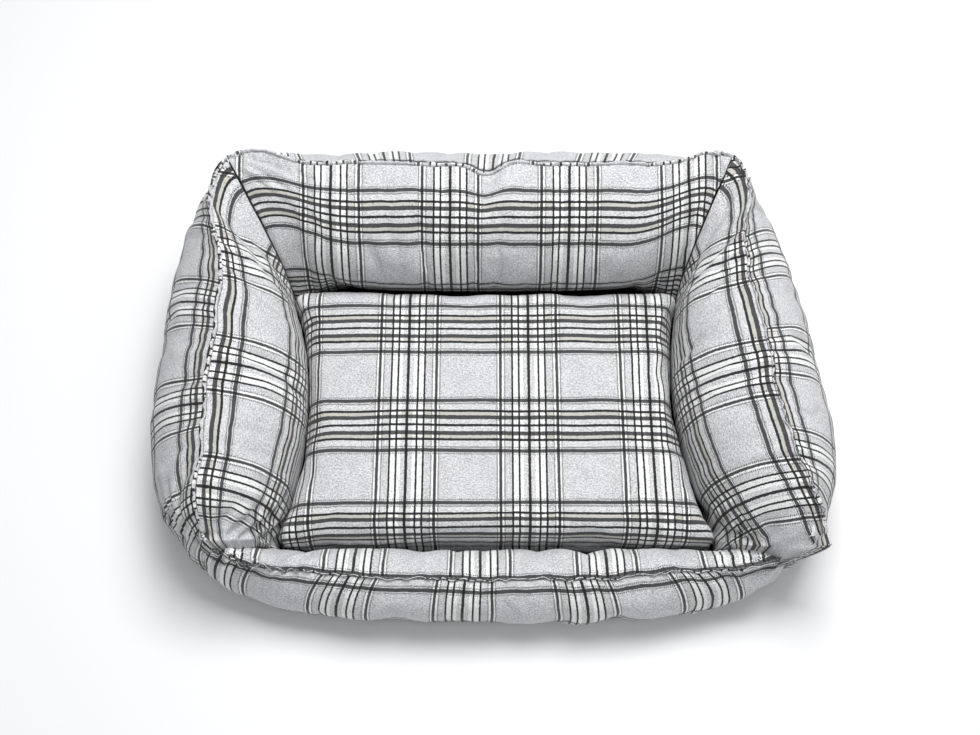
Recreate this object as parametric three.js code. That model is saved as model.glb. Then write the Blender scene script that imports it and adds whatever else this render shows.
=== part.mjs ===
// Pet cushion bed: four stuffed wall bolsters sewn round a flat base, and a loose zipped cushion in the well.
// Millimetres, +Z up, +X to the right, +Y to the tall back wall; the low front wall is at -Y.
// The origin is the middle of the footprint, on the surface that the bed stands on.
import * as THREE from 'three';

// ---- Driving dimensions: the bed ----
const HALF_WIDTH = 382;          // middle of the bed to the fullest point of a side wall
const HALF_DEPTH = { front: 272, back: 266.5 };  // origin to the fullest point of the front and back walls
const BACK_TAPER = { left: 0.07, right: 0.205 };  // how much narrower the back is than the front
const OUTLINE_POWER = { front: 3.2, back: 5.5 };   // superellipse powers: rounder corners at the front
// Where the wall bellies face each other: the well is wider in front than at the back.
const WELL = { left: { front: -239, back: -235 }, right: { front: 237, back: 209 }, front: -197, back: 101 };
const WELL_POWER = 14;           // squareness of the well's corners
const BELLY_BOW = { left: 26, right: 24 };         // how far a side wall's belly leans in at mid length
const BACK_RIDGE_HEIGHT = 197;
const FRONT_RIDGE_HEIGHT = 92;
const CLOTH = 2;                 // thickness of a panel of brushed cloth
const GAP = 0.4;                 // clearance between pieces that lie against each other
const RIDGE_LIP = { width: 2.6, height: 6 };       // turned seam allowance that stands up along a ridge
const STATIONS = 16;             // sections along a wall
const PANEL_ROWS = 7;            // strips from the base seam to the ridge seam
const SEAM_MARGIN = { base: 0.004, ridge: 0.015 };  // shares of a section's curve left free at its seams

// ---- Driving dimensions: the base ----
const BASE_THICKNESS = 2.4;
const BASE_INSET = 19;           // the base is this much smaller than the outline at the bulge
const LINING_THICKNESS = 1.6;
const LINING_REACH = 3;          // the lining goes this far in under the walls' bellies
const BASE_POINTS = 14;          // outline points to a side of the base

// ---- Driving dimensions: the loose cushion ----
const CUSHION = { margin: 4, front: -194, back: 95 };  // margin: its clearance beside the walls' bellies
const CUSHION_POWER = 9;
const CUSHION_SEAM_HEIGHT = 38;  // the seam round the cushion's edge, above the lining
const CUSHION_CROWN = 86;        // top of the crown in the middle, above the floor
const CUSHION_RINGS = 6;
const CUSHION_SPOKES = 44;
const CUSHION_REST_GAP = 0.6;    // the cushion lies this much above the lining

// ---- Driving dimensions: the zip along the cushion's back edge ----
const ZIP = { middle: -2.5, length: 300, tape: 8, tapeThickness: 0.8, coil: 4, coilDepth: 1.6 };
const SLIDER = { length: 9, width: 6, depth: 3.2, arch: 7.2, archTop: 6.6, window: [3.4, 5.6], leg: 1.7 };
const SLIDER_START = 8;          // the closed slider stops this far from the zip's end
const PULL = { reach: 10.5, side: 1.4, bar: 1.4, thickness: 1.3, hole: 4.4 };

const WALL_FOOT = BASE_THICKNESS + GAP;
const FLOOR_TOP = WALL_FOOT + LINING_THICKNESS;

// Each wall: its side of the bed, its ridge height along s (-1 to 1) and its section's control points.
// A section runs from t = 0 at the outer bulge to t = 1 at the inner belly; heights are shares of the ridge's.
const TALL_OUTER = [[0.10, 0.0], [-0.15, 0.42], [0.06, 0.87], [0.44, 1.0]];
const TALL_INNER = [[0.44, 1.0], [0.74, 1.0], [1.17, 0.62], [0.89, 0.0]];
const BACK_OUTER = [[0.10, 0.0], [-0.15, 0.42], [0.06, 0.87], [0.37, 1.0]];
const BACK_INNER = [[0.37, 1.0], [0.70, 0.99], [1.22, 0.66], [0.77, 0.0]];
const FRONT_OUTER = [[0.10, 0.0], [-0.14, 0.42], [0.06, 0.98], [0.42, 1.0]];
const FRONT_INNER = [[0.42, 1.0], [0.82, 1.04], [1.12, 0.66], [0.93, 0.0]];
const SIDE_FALL = 24;            // a side wall's ridge is this much lower towards the front
const SIDE_END = { from: 0.78, drop: 50 };         // its rounded front end: where it starts, and its drop
function sideRidge(toFront) {
  const ahead = Math.max(0, toFront);
  const round = Math.max(0, (ahead - SIDE_END.from) / (1 - SIDE_END.from));
  return BACK_RIDGE_HEIGHT - SIDE_FALL * ahead ** 1.6 - SIDE_END.drop * (1 - Math.sqrt(1 - round ** 2));
}
const WALLS = {
  back: { outer: BACK_OUTER, inner: BACK_INNER, ridge: (s) => BACK_RIDGE_HEIGHT - 4 * (1 - s * s) },
  left: { outer: TALL_OUTER, inner: TALL_INNER, ridge: (s) => sideRidge(-s) },
  right: { outer: TALL_OUTER, inner: TALL_INNER, ridge: (s) => sideRidge(-s) },
  front: { outer: FRONT_OUTER, inner: FRONT_INNER, ridge: (s) => FRONT_RIDGE_HEIGHT + 8 * s * s },
};

// ---- Colours ----
const cloth = (name, color, roughness = 0.95) => new THREE.MeshStandardMaterial({ name, color, roughness });
const MATERIALS = {
  plaid: cloth('plaid', 0xb9bbbd),
  lip: cloth('plaid_lip', 0x8d8e8f),
  fibre: cloth('fibre', 0xf2f2ee),
  base: cloth('base_cloth', 0x3a3b3d),
  lining: cloth('lining', 0x9c9da0),
  tape: cloth('zip_tape', 0x8a8c90),
  coil: cloth('zip_coil', 0x6f7175, 0.5),
  metal: new THREE.MeshStandardMaterial({ name: 'metal', color: 0xa9abad, roughness: 0.35, metalness: 1 }),
};

const bed = new THREE.Group();

// Adds one named piece to a group.
function piece(group, name, geometry, material) {
  const mesh = new THREE.Mesh(geometry, material);
  mesh.name = name;
  group.add(mesh);
  return mesh;
}

// Builds a geometry from a list of points and a list of four-sided faces, each split along its shorter diagonal.
function polyhedron(points, faces) {
  const index = [];
  const distance = (a, b) => Math.hypot(...points[a].map((value, axis) => value - points[b][axis]));
  for (const [a, b, c, d] of faces) {
    if (distance(a, c) <= distance(b, d)) index.push(a, b, c, a, c, d);
    else index.push(a, b, d, b, c, d);
  }
  const geometry = new THREE.BufferGeometry();
  geometry.setAttribute('position', new THREE.Float32BufferAttribute(points.flat(), 3));
  geometry.setIndex(index);
  return geometry;
}

// Lofts closed rings of points, each ring with the same count, into one closed body. Each end is closed by
// strips across the ring, from its first point and its last inwards.
function loft(rings) {
  const count = rings[0].length;
  const faces = [];
  for (let i = 0; i < rings.length - 1; i += 1) {
    for (let j = 0; j < count; j += 1) {
      const k = (j + 1) % count;
      faces.push([i * count + j, i * count + k, (i + 1) * count + k, (i + 1) * count + j]);
    }
  }
  const last = (rings.length - 1) * count;
  for (let j = 0; j < count / 2 - 1; j += 1) {
    const [a, b, c, d] = [j, j + 1, count - 2 - j, count - 1 - j];
    faces.push([a, d, c, b], [last + a, last + b, last + c, last + d]);
  }
  return facingOut(polyhedron(rings.flat(), faces));
}

// Turns a closed geometry's faces round where they point inwards.
function facingOut(geometry) {
  const position = geometry.getAttribute('position');
  const index = geometry.getIndex().array;
  const [a, b, c] = [new THREE.Vector3(), new THREE.Vector3(), new THREE.Vector3()];
  let volume = 0;
  for (let i = 0; i < index.length; i += 3) {
    a.fromBufferAttribute(position, index[i]);
    b.fromBufferAttribute(position, index[i + 1]);
    c.fromBufferAttribute(position, index[i + 2]);
    volume += a.dot(b.cross(c));
  }
  if (volume < 0) {
    for (let i = 0; i < index.length; i += 3) [index[i], index[i + 1]] = [index[i + 1], index[i]];
  }
  return geometry;
}

// A point on the bed's rounded outline: s runs from -1 to 1 along one wall, with the mitres at the ends.
function outlinePoint(side, s) {
  const alongY = side === 'left' || side === 'right';
  const toBack = side === 'back' || (alongY && s > 0);
  const power = toBack ? OUTLINE_POWER.back : OUTLINE_POWER.front;
  const corner = 0.5 ** (1 / power);
  const along = corner * s;
  const across = (1 - Math.abs(along) ** power) ** (1 / power);
  const unit = { back: [along, across], front: [along, -across], left: [-across, along], right: [across, along] };
  const [x, y] = unit[side];
  const taper = x < 0 ? BACK_TAPER.left : BACK_TAPER.right;
  const width = HALF_WIDTH * (1 - taper * ((y + 1) / 2) ** 1.5);
  return [x * width, y * (y < 0 ? HALF_DEPTH.front : HALF_DEPTH.back)];
}

// The well's left and right sides at a share of its depth, from -1 in front to 1 at the back.
// The lean is the share of the bellies' bow that counts there.
function wellSides(depth, leanLeft, leanRight) {
  const side = ({ front, back }) => front + (back - front) * (depth + 1) / 2;
  return [side(WELL.left) + BELLY_BOW.left * leanLeft, side(WELL.right) - BELLY_BOW.right * leanRight];
}

const WELL_MIDDLE = (WELL.front + WELL.back) / 2;
const WELL_HALF = (WELL.back - WELL.front) / 2;

// A point where the wall's belly faces the well, along the same s.
function wellPoint(side, s) {
  const corner = 0.5 ** (1 / WELL_POWER);
  const along = corner * s;
  const across = (1 - Math.abs(along) ** WELL_POWER) ** (1 / WELL_POWER);
  const unit = { back: [along, across], front: [along, -across], left: [-across, along], right: [across, along] };
  const [x, y] = unit[side];
  const lean = 1 - s * s;
  const [left, right] = wellSides(y, side === 'left' ? lean : 0, side === 'right' ? lean : 0);
  return [(left + right) / 2 + x * (right - left) / 2, WELL_MIDDLE + y * WELL_HALF];
}

// Value and slope of a cubic Bezier through four control numbers.
function bezier(p, v) {
  const u = 1 - v;
  return [
    u ** 3 * p[0] + 3 * u * u * v * p[1] + 3 * u * v * v * p[2] + v ** 3 * p[3],
    3 * (u * u * (p[1] - p[0]) + 2 * u * v * (p[2] - p[1]) + v * v * (p[3] - p[2])),
  ];
}

// A point on a wall's skin: s along the wall, v along the section from its start, inset under the surface.
function wallPoint(side, half, s, v, inset) {
  const wall = WALLS[side];
  const [outerX, outerY] = outlinePoint(side, s);
  const [innerX, innerY] = wellPoint(side, s);
  const width = Math.hypot(innerX - outerX, innerY - outerY);
  const controls = wall[half];
  const rise = wall.ridge(s) - WALL_FOOT;
  const [across, acrossSlope] = bezier(controls.map(([t]) => t * width), v);
  const [height, heightSlope] = bezier(controls.map(([, z]) => z * rise), v);
  const length = Math.hypot(acrossSlope, heightSlope);
  const q = across + inset * heightSlope / length;
  const z = WALL_FOOT + height - inset * acrossSlope / length;
  const t = q / width;
  return [outerX + (innerX - outerX) * t, outerY + (innerY - outerY) * t, Math.max(z, WALL_FOOT)];
}

// The stations along a wall, closer together near the mitres, with a little room left at each mitre.
function stations(side) {
  const length = side === 'left' || side === 'right' ? HALF_DEPTH.back : HALF_WIDTH;
  const end = 1 - 2 * GAP / length;
  return Array.from({ length: STATIONS + 1 }, (_, i) => {
    const u = 2 * i / STATIONS - 1;
    return end * (0.75 * u + 0.25 * Math.sin(u * Math.PI / 2));
  });
}

// The places of a section's points along its curve: an outer half runs up to the ridge, an inner half down.
function sectionRows(half) {
  const { base, ridge } = SEAM_MARGIN;
  const [from, to] = half === 'outer' ? [base, 1 - ridge] : [ridge, 1 - base];
  return Array.from({ length: PANEL_ROWS + 1 }, (_, j) => from + (to - from) * j / PANEL_ROWS);
}

// One wall panel: a sheet of cloth from the base seam to the ridge seam, as a closed thin shell.
function wallPanel(side, half) {
  const rows = sectionRows(half);
  return loft(stations(side).map((s) => [
    ...rows.map((v) => wallPoint(side, half, s, v, 0)),
    ...rows.toReversed().map((v) => wallPoint(side, half, s, v, CLOTH)),
  ]));
}

// The polyester fibre inside one wall: everything within the two panels, down to the base.
function wallFill(side) {
  return loft(stations(side).map((s) => ['outer', 'inner'].flatMap((half) =>
    sectionRows(half).map((v) => wallPoint(side, half, s, v, CLOTH + GAP)))));
}

// The turned seam allowance that stands along the ridge, sewn through with small puckers.
function ridgeLip(side) {
  const { width, height } = RIDGE_LIP;
  const rings = stations(side).map((s) => {
    const [x, y, z] = wallPoint(side, 'inner', s, 0, 0);
    const [outerX, outerY] = outlinePoint(side, s);
    const [innerX, innerY] = wellPoint(side, s);
    const span = Math.hypot(innerX - outerX, innerY - outerY);
    const [dx, dy] = [(innerX - outerX) / span * width / 2, (innerY - outerY) / span * width / 2];
    const foot = z + GAP;
    return [
      [x - dx, y - dy, foot], [x + dx, y + dy, foot],
      [x + dx * 0.6, y + dy * 0.6, foot + height], [x - dx * 0.6, y - dy * 0.6, foot + height],
    ];
  });
  return loft(rings);
}

// A flat sheet with the bed's or the well's outline.
function flatSheet(pointOn, inset, bottom, thickness) {
  const outline = ['right', 'back', 'left', 'front'].flatMap((side) => {
    const forward = side === 'right' || side === 'front' ? 1 : -1;
    return Array.from({ length: BASE_POINTS }, (_, i) => {
      const [x, y] = pointOn(side, forward * (2 * i / BASE_POINTS - 1));
      const length = Math.hypot(x, y);
      return [x * (1 - inset / length), y * (1 - inset / length)];
    });
  });
  return loft([bottom, bottom + thickness].map((z) => outline.map(([x, y]) => [x, y, z])));
}

// A point on the cushion: angle round the edge, share r of the way out, on the top or the underside.
function cushionPoint(angle, r, top, inset) {
  const midY = (CUSHION.front + CUSHION.back) / 2;
  const halfY = (CUSHION.back - CUSHION.front) / 2 - inset;
  const soften = (value) => Math.sign(value) * Math.abs(value) ** (2 / CUSHION_POWER);
  const dome = Math.sqrt(Math.max(0, 1 - r ** 3.2));
  const floor = FLOOR_TOP + CUSHION_REST_GAP;
  const seam = FLOOR_TOP + CUSHION_SEAM_HEIGHT;
  const rise = top ? CUSHION_CROWN - seam - inset : seam - floor - inset;
  const belly = top ? dome : Math.min(1, dome * 1.35);
  const y = midY + halfY * r * soften(Math.sin(angle));
  const depth = (y - WELL_MIDDLE) / WELL_HALF;
  const lean = 1 - depth ** 2;
  const [left, right] = wellSides(depth, lean, lean);
  const [low, high] = [left + CUSHION.margin + inset, right - CUSHION.margin - inset];
  return [
    (low + high) / 2 + (high - low) / 2 * r * soften(Math.cos(angle)),
    y,
    seam + (top ? 1 : -1) * (rise * belly + GAP),
  ];
}

// Rings of the cushion's top or underside, from the middle to the seam round its edge.
function cushionRings(top, inset) {
  return Array.from({ length: CUSHION_RINGS }, (_, i) => {
    const r = Math.sin((i + 1) / CUSHION_RINGS * Math.PI / 2);
    return Array.from({ length: CUSHION_SPOKES }, (_, k) =>
      cushionPoint(2 * Math.PI * (k + 0.5) / CUSHION_SPOKES, r, top, inset));
  });
}

// One cushion panel: a crowned sheet of cloth, as a closed thin shell.
function cushionPanel(top) {
  const outer = cushionRings(top, 0);
  const inner = cushionRings(top, CLOTH).toReversed();
  return loft([...outer, ...inner]);
}

// The cushion's fibre filling.
function cushionFill() {
  const inset = CLOTH + GAP;
  return loft([...cushionRings(true, inset), ...cushionRings(false, inset).toReversed()]);
}

// A block from one corner to the opposite one.
function block([x0, y0, z0], [x1, y1, z1]) {
  return new THREE.BoxGeometry(x1 - x0, y1 - y0, z1 - z0)
    .translate((x0 + x1) / 2, (y0 + y1) / 2, (z0 + z1) / 2);
}

// A closed outline from a list of corners.
function outline(Kind, corners) {
  const path = new Kind();
  corners.forEach(([x, y], i) => (i === 0 ? path.moveTo(x, y) : path.lineTo(x, y)));
  path.closePath();
  return path;
}

// The slider, seen from above as it lies on the coil: a block with an arch that holds the pull.
function sliderBody() {
  const { length, width, depth, arch, archTop, window: [low, high], leg } = SLIDER;
  const [half, top, inside] = [length / 2, arch / 2, arch / 2 - leg];
  const shape = outline(THREE.Shape, [[-half, 0], [half, 0], [half, depth], [top, depth], [top, archTop],
    [-top, archTop], [-top, depth], [-half, depth]]);
  shape.holes.push(outline(THREE.Path, [[-inside, low], [-inside, high], [inside, high], [inside, low]]));
  return new THREE.ExtrudeGeometry(shape, { depth: width, bevelEnabled: false }).translate(0, 0, -width / 2);
}

// The pull: a flat tab whose end bar turns under the slider's arch. The bar is at the origin, along Z.
function pullTab() {
  const { reach, side, bar, thickness, hole } = PULL;
  const inside = SLIDER.width / 2 + GAP;
  const outside = inside + side;
  const shape = outline(THREE.Shape, [[bar / 2, -outside], [bar / 2, outside], [-hole, outside],
    [-reach, outside * 0.6], [-reach, -outside * 0.6], [-hole, -outside]]);
  shape.holes.push(outline(THREE.Path, [[-bar / 2, -inside], [-hole, -inside], [-hole, inside],
    [-bar / 2, inside]]));
  return new THREE.ExtrudeGeometry(shape, { depth: thickness, bevelEnabled: false })
    .translate(0, 0, -thickness / 2).rotateX(Math.PI / 2);
}

// ---- The base and the walls ----
piece(bed, 'base_panel', flatSheet(outlinePoint, BASE_INSET, 0, BASE_THICKNESS), MATERIALS.base);
piece(bed, 'floor_lining', flatSheet(wellPoint, -LINING_REACH, WALL_FOOT, LINING_THICKNESS), MATERIALS.lining);
for (const side of Object.keys(WALLS)) {
  piece(bed, `${side}_outer_panel`, wallPanel(side, 'outer'), MATERIALS.plaid);
  piece(bed, `${side}_inner_panel`, wallPanel(side, 'inner'), MATERIALS.plaid);
  piece(bed, `${side}_fibre_fill`, wallFill(side), MATERIALS.fibre);
  piece(bed, `${side}_ridge_lip`, ridgeLip(side), MATERIALS.lip);
}

// ---- The loose cushion ----
piece(bed, 'cushion_top_panel', cushionPanel(true), MATERIALS.plaid);
piece(bed, 'cushion_bottom_panel', cushionPanel(false), MATERIALS.plaid);
piece(bed, 'cushion_fibre_fill', cushionFill(), MATERIALS.fibre);

// ---- The zip, along the middle of the cushion's back edge, in a group on the seam ----
const zip = new THREE.Group();
zip.position.set(ZIP.middle, CUSHION.back + GAP, FLOOR_TOP + CUSHION_SEAM_HEIGHT);
bed.add(zip);
const halfZip = ZIP.length / 2;
const halfCoil = ZIP.coil / 2;
for (const [name, sign] of [['upper', 1], ['lower', -1]]) {
  const [near, far] = [sign * (halfCoil + GAP), sign * (halfCoil + GAP + ZIP.tape)];
  piece(zip, `zip_${name}_tape`, block([-halfZip, 0, Math.min(near, far)],
    [halfZip, ZIP.tapeThickness, Math.max(near, far)]), MATERIALS.tape);
}
piece(zip, 'zip_coil', block([-halfZip, 0, -halfCoil], [halfZip, ZIP.coilDepth, halfCoil]), MATERIALS.coil);

const slider = new THREE.Group();
slider.position.set(-halfZip + SLIDER_START, ZIP.coilDepth + GAP, 0);
zip.add(slider);
piece(slider, 'zip_slider', sliderBody(), MATERIALS.metal);
const pull = piece(slider, 'zip_pull', pullTab(), MATERIALS.metal);
pull.position.y = (SLIDER.window[0] + SLIDER.window[1]) / 2;

// The footprint's middle is the origin.
const box = new THREE.Box3().setFromObject(bed);
bed.position.set(-(box.min.x + box.max.x) / 2, -(box.min.y + box.max.y) / 2, -box.min.z);

export default bed;
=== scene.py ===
"""A plaid pet cushion bed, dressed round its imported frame.

The walls, the loose cushion and their seams are cloth: each sheet is laid out on the shape that the frame
gives, blown up a little by a short cloth simulation so that it puckers along its seams, and then thickened.
Lengths are in metres, with +Z up, +Y to the tall back wall and +X to the right.
"""

import logging
import math
from dataclasses import dataclass, field
from enum import Enum
from typing import Any, Callable, Sequence

import bmesh
import bpy
import numpy as np
from mathutils import Matrix, Vector


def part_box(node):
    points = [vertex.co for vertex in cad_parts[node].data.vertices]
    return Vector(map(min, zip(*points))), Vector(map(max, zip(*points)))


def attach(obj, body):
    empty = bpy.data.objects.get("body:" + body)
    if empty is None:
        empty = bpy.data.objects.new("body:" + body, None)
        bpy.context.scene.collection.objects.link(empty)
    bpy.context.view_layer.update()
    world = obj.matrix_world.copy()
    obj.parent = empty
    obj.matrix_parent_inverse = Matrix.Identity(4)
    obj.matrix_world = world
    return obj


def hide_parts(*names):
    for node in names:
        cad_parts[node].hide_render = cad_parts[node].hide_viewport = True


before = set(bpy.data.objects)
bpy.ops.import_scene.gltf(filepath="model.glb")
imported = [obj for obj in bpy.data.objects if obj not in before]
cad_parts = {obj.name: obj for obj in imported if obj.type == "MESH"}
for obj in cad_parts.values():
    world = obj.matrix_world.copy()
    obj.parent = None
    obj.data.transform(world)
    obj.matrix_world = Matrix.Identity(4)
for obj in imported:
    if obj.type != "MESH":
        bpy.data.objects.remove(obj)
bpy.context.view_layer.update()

LOG = logging.getLogger("pet_bed")
Array = np.ndarray
MM = 0.001
STITCH_LENGTH = 3.1 * MM
STITCH_RADIUS = 0.34 * MM
RIDGE_STITCH_STEP = 4.4 * MM
ZIP_STITCH_STEP = 4.0 * MM


# ---- Shader sums ---------------------------------------------------------------------------------------


class Value:
    """A number that varies over a surface: a shader socket that takes part in Python sums."""

    def __init__(self, shader: "Shader", socket: bpy.types.NodeSocket) -> None:
        """Wraps a socket.

        Args:
            shader: the material's node builder.
            socket: the output that holds the number.
        """
        self.shader = shader
        self.socket = socket

    def _math(self, operation: str, *others: Any) -> "Value":
        """Adds one Math node.

        Args:
            operation: the node's operation.
            others: the second number, where the operation has one.

        Returns:
            The result as a new value.
        """
        node = self.shader.node("ShaderNodeMath", {"operation": operation}, dict(enumerate((self, *others))))
        return Value(self.shader, node.outputs[0])

    def __add__(self, other: Any) -> "Value":
        """Sum."""
        return self._math("ADD", other)

    __radd__ = __add__

    def __sub__(self, other: Any) -> "Value":
        """Difference."""
        return self._math("SUBTRACT", other)

    def __rsub__(self, other: Any) -> "Value":
        """Difference from a plain number."""
        return (self * -1.0) + other

    def __mul__(self, other: Any) -> "Value":
        """Product."""
        return self._math("MULTIPLY", other)

    __rmul__ = __mul__

    def __truediv__(self, other: Any) -> "Value":
        """Quotient."""
        return self._math("DIVIDE", other)

    def fraction(self) -> "Value":
        """The part after the decimal point."""
        return self._math("FRACT")

    def size(self) -> "Value":
        """The number without its sign."""
        return self._math("ABSOLUTE")

    def wave(self) -> "Value":
        """The sine of the number, in radians."""
        return self._math("SINE")

    def above(self, limit: float) -> "Value":
        """One where the number is over a limit, and zero elsewhere."""
        return self._math("GREATER_THAN", limit)

    def below(self, limit: float) -> "Value":
        """One where the number is under a limit, and zero elsewhere."""
        return self._math("LESS_THAN", limit)

    def ramp(self, low: float, high: float) -> "Value":
        """Rises smoothly from 0 at low to 1 at high."""
        node = self.shader.node("ShaderNodeMapRange", {"interpolation_type": "SMOOTHSTEP"},
                                {"Value": self, "From Min": low, "From Max": high})
        return Value(self.shader, node.outputs[0])


Colour = tuple[float, float, float]


class Shader:
    """Builds one material's nodes."""

    def __init__(self, name: str) -> None:
        """Starts an empty material with a Principled shader.

        Args:
            name: the material's name.
        """
        self.material = bpy.data.materials.new(name)
        self.material.use_nodes = True
        self.tree = self.material.node_tree
        self.principled = self.tree.nodes["Principled BSDF"]

    def node(self, kind: str, settings: dict[str, Any], inputs: dict[Any, Any]) -> bpy.types.Node:
        """Adds a node.

        Args:
            kind: the node's type.
            settings: attributes set first, with "stops" for a colour ramp.
            inputs: values or links for its sockets, by name or number.

        Returns:
            The node.
        """
        node = self.tree.nodes.new(kind)
        for key, value in settings.items():
            if key == "stops":
                self._stops(node, value)
            else:
                setattr(node, key, value)
        for key, value in inputs.items():
            self.feed(node.inputs[key], value)
        return node

    @staticmethod
    def _stops(node: bpy.types.Node, stops: Sequence[tuple[float, Colour]]) -> None:
        """Sets a colour ramp's stops: each holds its colour until the next one."""
        ramp = node.color_ramp
        ramp.interpolation = "CONSTANT"
        for position, colour in stops[1:-1]:
            ramp.elements.new(position).color = (*colour, 1.0)
        for element, (position, colour) in ((ramp.elements[0], stops[0]), (ramp.elements[-1], stops[-1])):
            element.position = position
            element.color = (*colour, 1.0)

    def feed(self, socket: bpy.types.NodeSocket, value: Any) -> None:
        """Links a value or a socket to an input, or sets the input to a plain number, colour or vector."""
        if isinstance(value, Value):
            self.tree.links.new(value.socket, socket)
        elif isinstance(value, bpy.types.NodeSocket):
            self.tree.links.new(value, socket)
        elif socket.type == "RGBA" and len(value) == 3:
            socket.default_value = (*value, 1.0)
        else:
            socket.default_value = value

    def place(self, source: str) -> tuple[bpy.types.NodeSocket, Value, Value]:
        """The surface's own place: "UV" or "Object".

        Args:
            source: the name of the Texture Coordinate output.

        Returns:
            The whole vector, and its first two numbers.
        """
        vector = self.node("ShaderNodeTexCoord", {}, {}).outputs[source]
        parts = self.node("ShaderNodeSeparateXYZ", {}, {0: vector})
        return vector, Value(self, parts.outputs[0]), Value(self, parts.outputs[1])

    def noise(self, vector: Any, scale: float, detail: float = 2.0, roughness: float = 0.5) -> Value:
        """Smooth noise from 0 to 1.

        Args:
            vector: where to read it.
            scale: how many features to a metre.
            detail: how many finer layers.
            roughness: how strong the finer layers are.

        Returns:
            The noise.
        """
        node = self.node("ShaderNodeTexNoise", {}, {"Vector": vector, "Scale": scale, "Detail": detail,
                                                    "Roughness": roughness})
        return Value(self, node.outputs[0])

    def stretched(self, vector: Any, scale: tuple[float, float, float]) -> bpy.types.NodeSocket:
        """The vector with each part multiplied by its own number."""
        node = self.node("ShaderNodeVectorMath", {"operation": "MULTIPLY"}, {0: vector, 1: scale})
        return node.outputs[0]

    def mix(self, amount: Any, low: Any, high: Any) -> bpy.types.NodeSocket:
        """A colour between two colours.

        Args:
            amount: 0 for the first colour, 1 for the second.
            low: the first colour.
            high: the second colour.

        Returns:
            The mixed colour.
        """
        node = self.node("ShaderNodeMix", {"data_type": "RGBA"}, {"Factor": amount, "A": low, "B": high})
        return next(o for o in node.outputs if o.type == "RGBA")

    def masks(self, place: Value, stops: Sequence[tuple[float, Colour]]) -> list[Value]:
        """Three masks along one number, held in a ramp's red, green and blue."""
        ramp = self.node("ShaderNodeValToRGB", {"stops": stops}, {0: place})
        parts = self.node("ShaderNodeSeparateColor", {}, {0: ramp.outputs[0]})
        return [Value(self, parts.outputs[i]) for i in range(3)]

    def bump(self, height: Value, distance: float, strength: float = 1.0) -> None:
        """Feeds a height, in shares of a distance, to the shader's normal."""
        node = self.node("ShaderNodeBump", {}, {"Height": height, "Distance": distance, "Strength": strength})
        self.feed(self.principled.inputs["Normal"], node.outputs[0])

    def finish(self, **inputs: Any) -> bpy.types.Material:
        """Sets the shader's other inputs, with spaces as underscores, and returns the material."""
        for key, value in inputs.items():
            self.feed(self.principled.inputs[key.replace("_", " ")], value)
        return self.material


# ---- Finishes ------------------------------------------------------------------------------------------

# The plaid's yarns, as marks in a ramp: how much ink in red, how much white in green, and in blue BEIGE_MARK
# for a beige line or 1 for a dotted one.
BEIGE_MARK = 0.5
INK = (1.0, 0.0, 0.0)
CHARCOAL = (0.93, 0.0, 0.0)
WHITE = (0.0, 1.0, 0.0)
PALE = (0.0, 0.12, 0.0)
BEIGE = (0.0, 0.0, BEIGE_MARK)
DOTTED = (0.0, 0.0, 1.0)
GROUND = (0.0, 0.0, 0.0)


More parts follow.
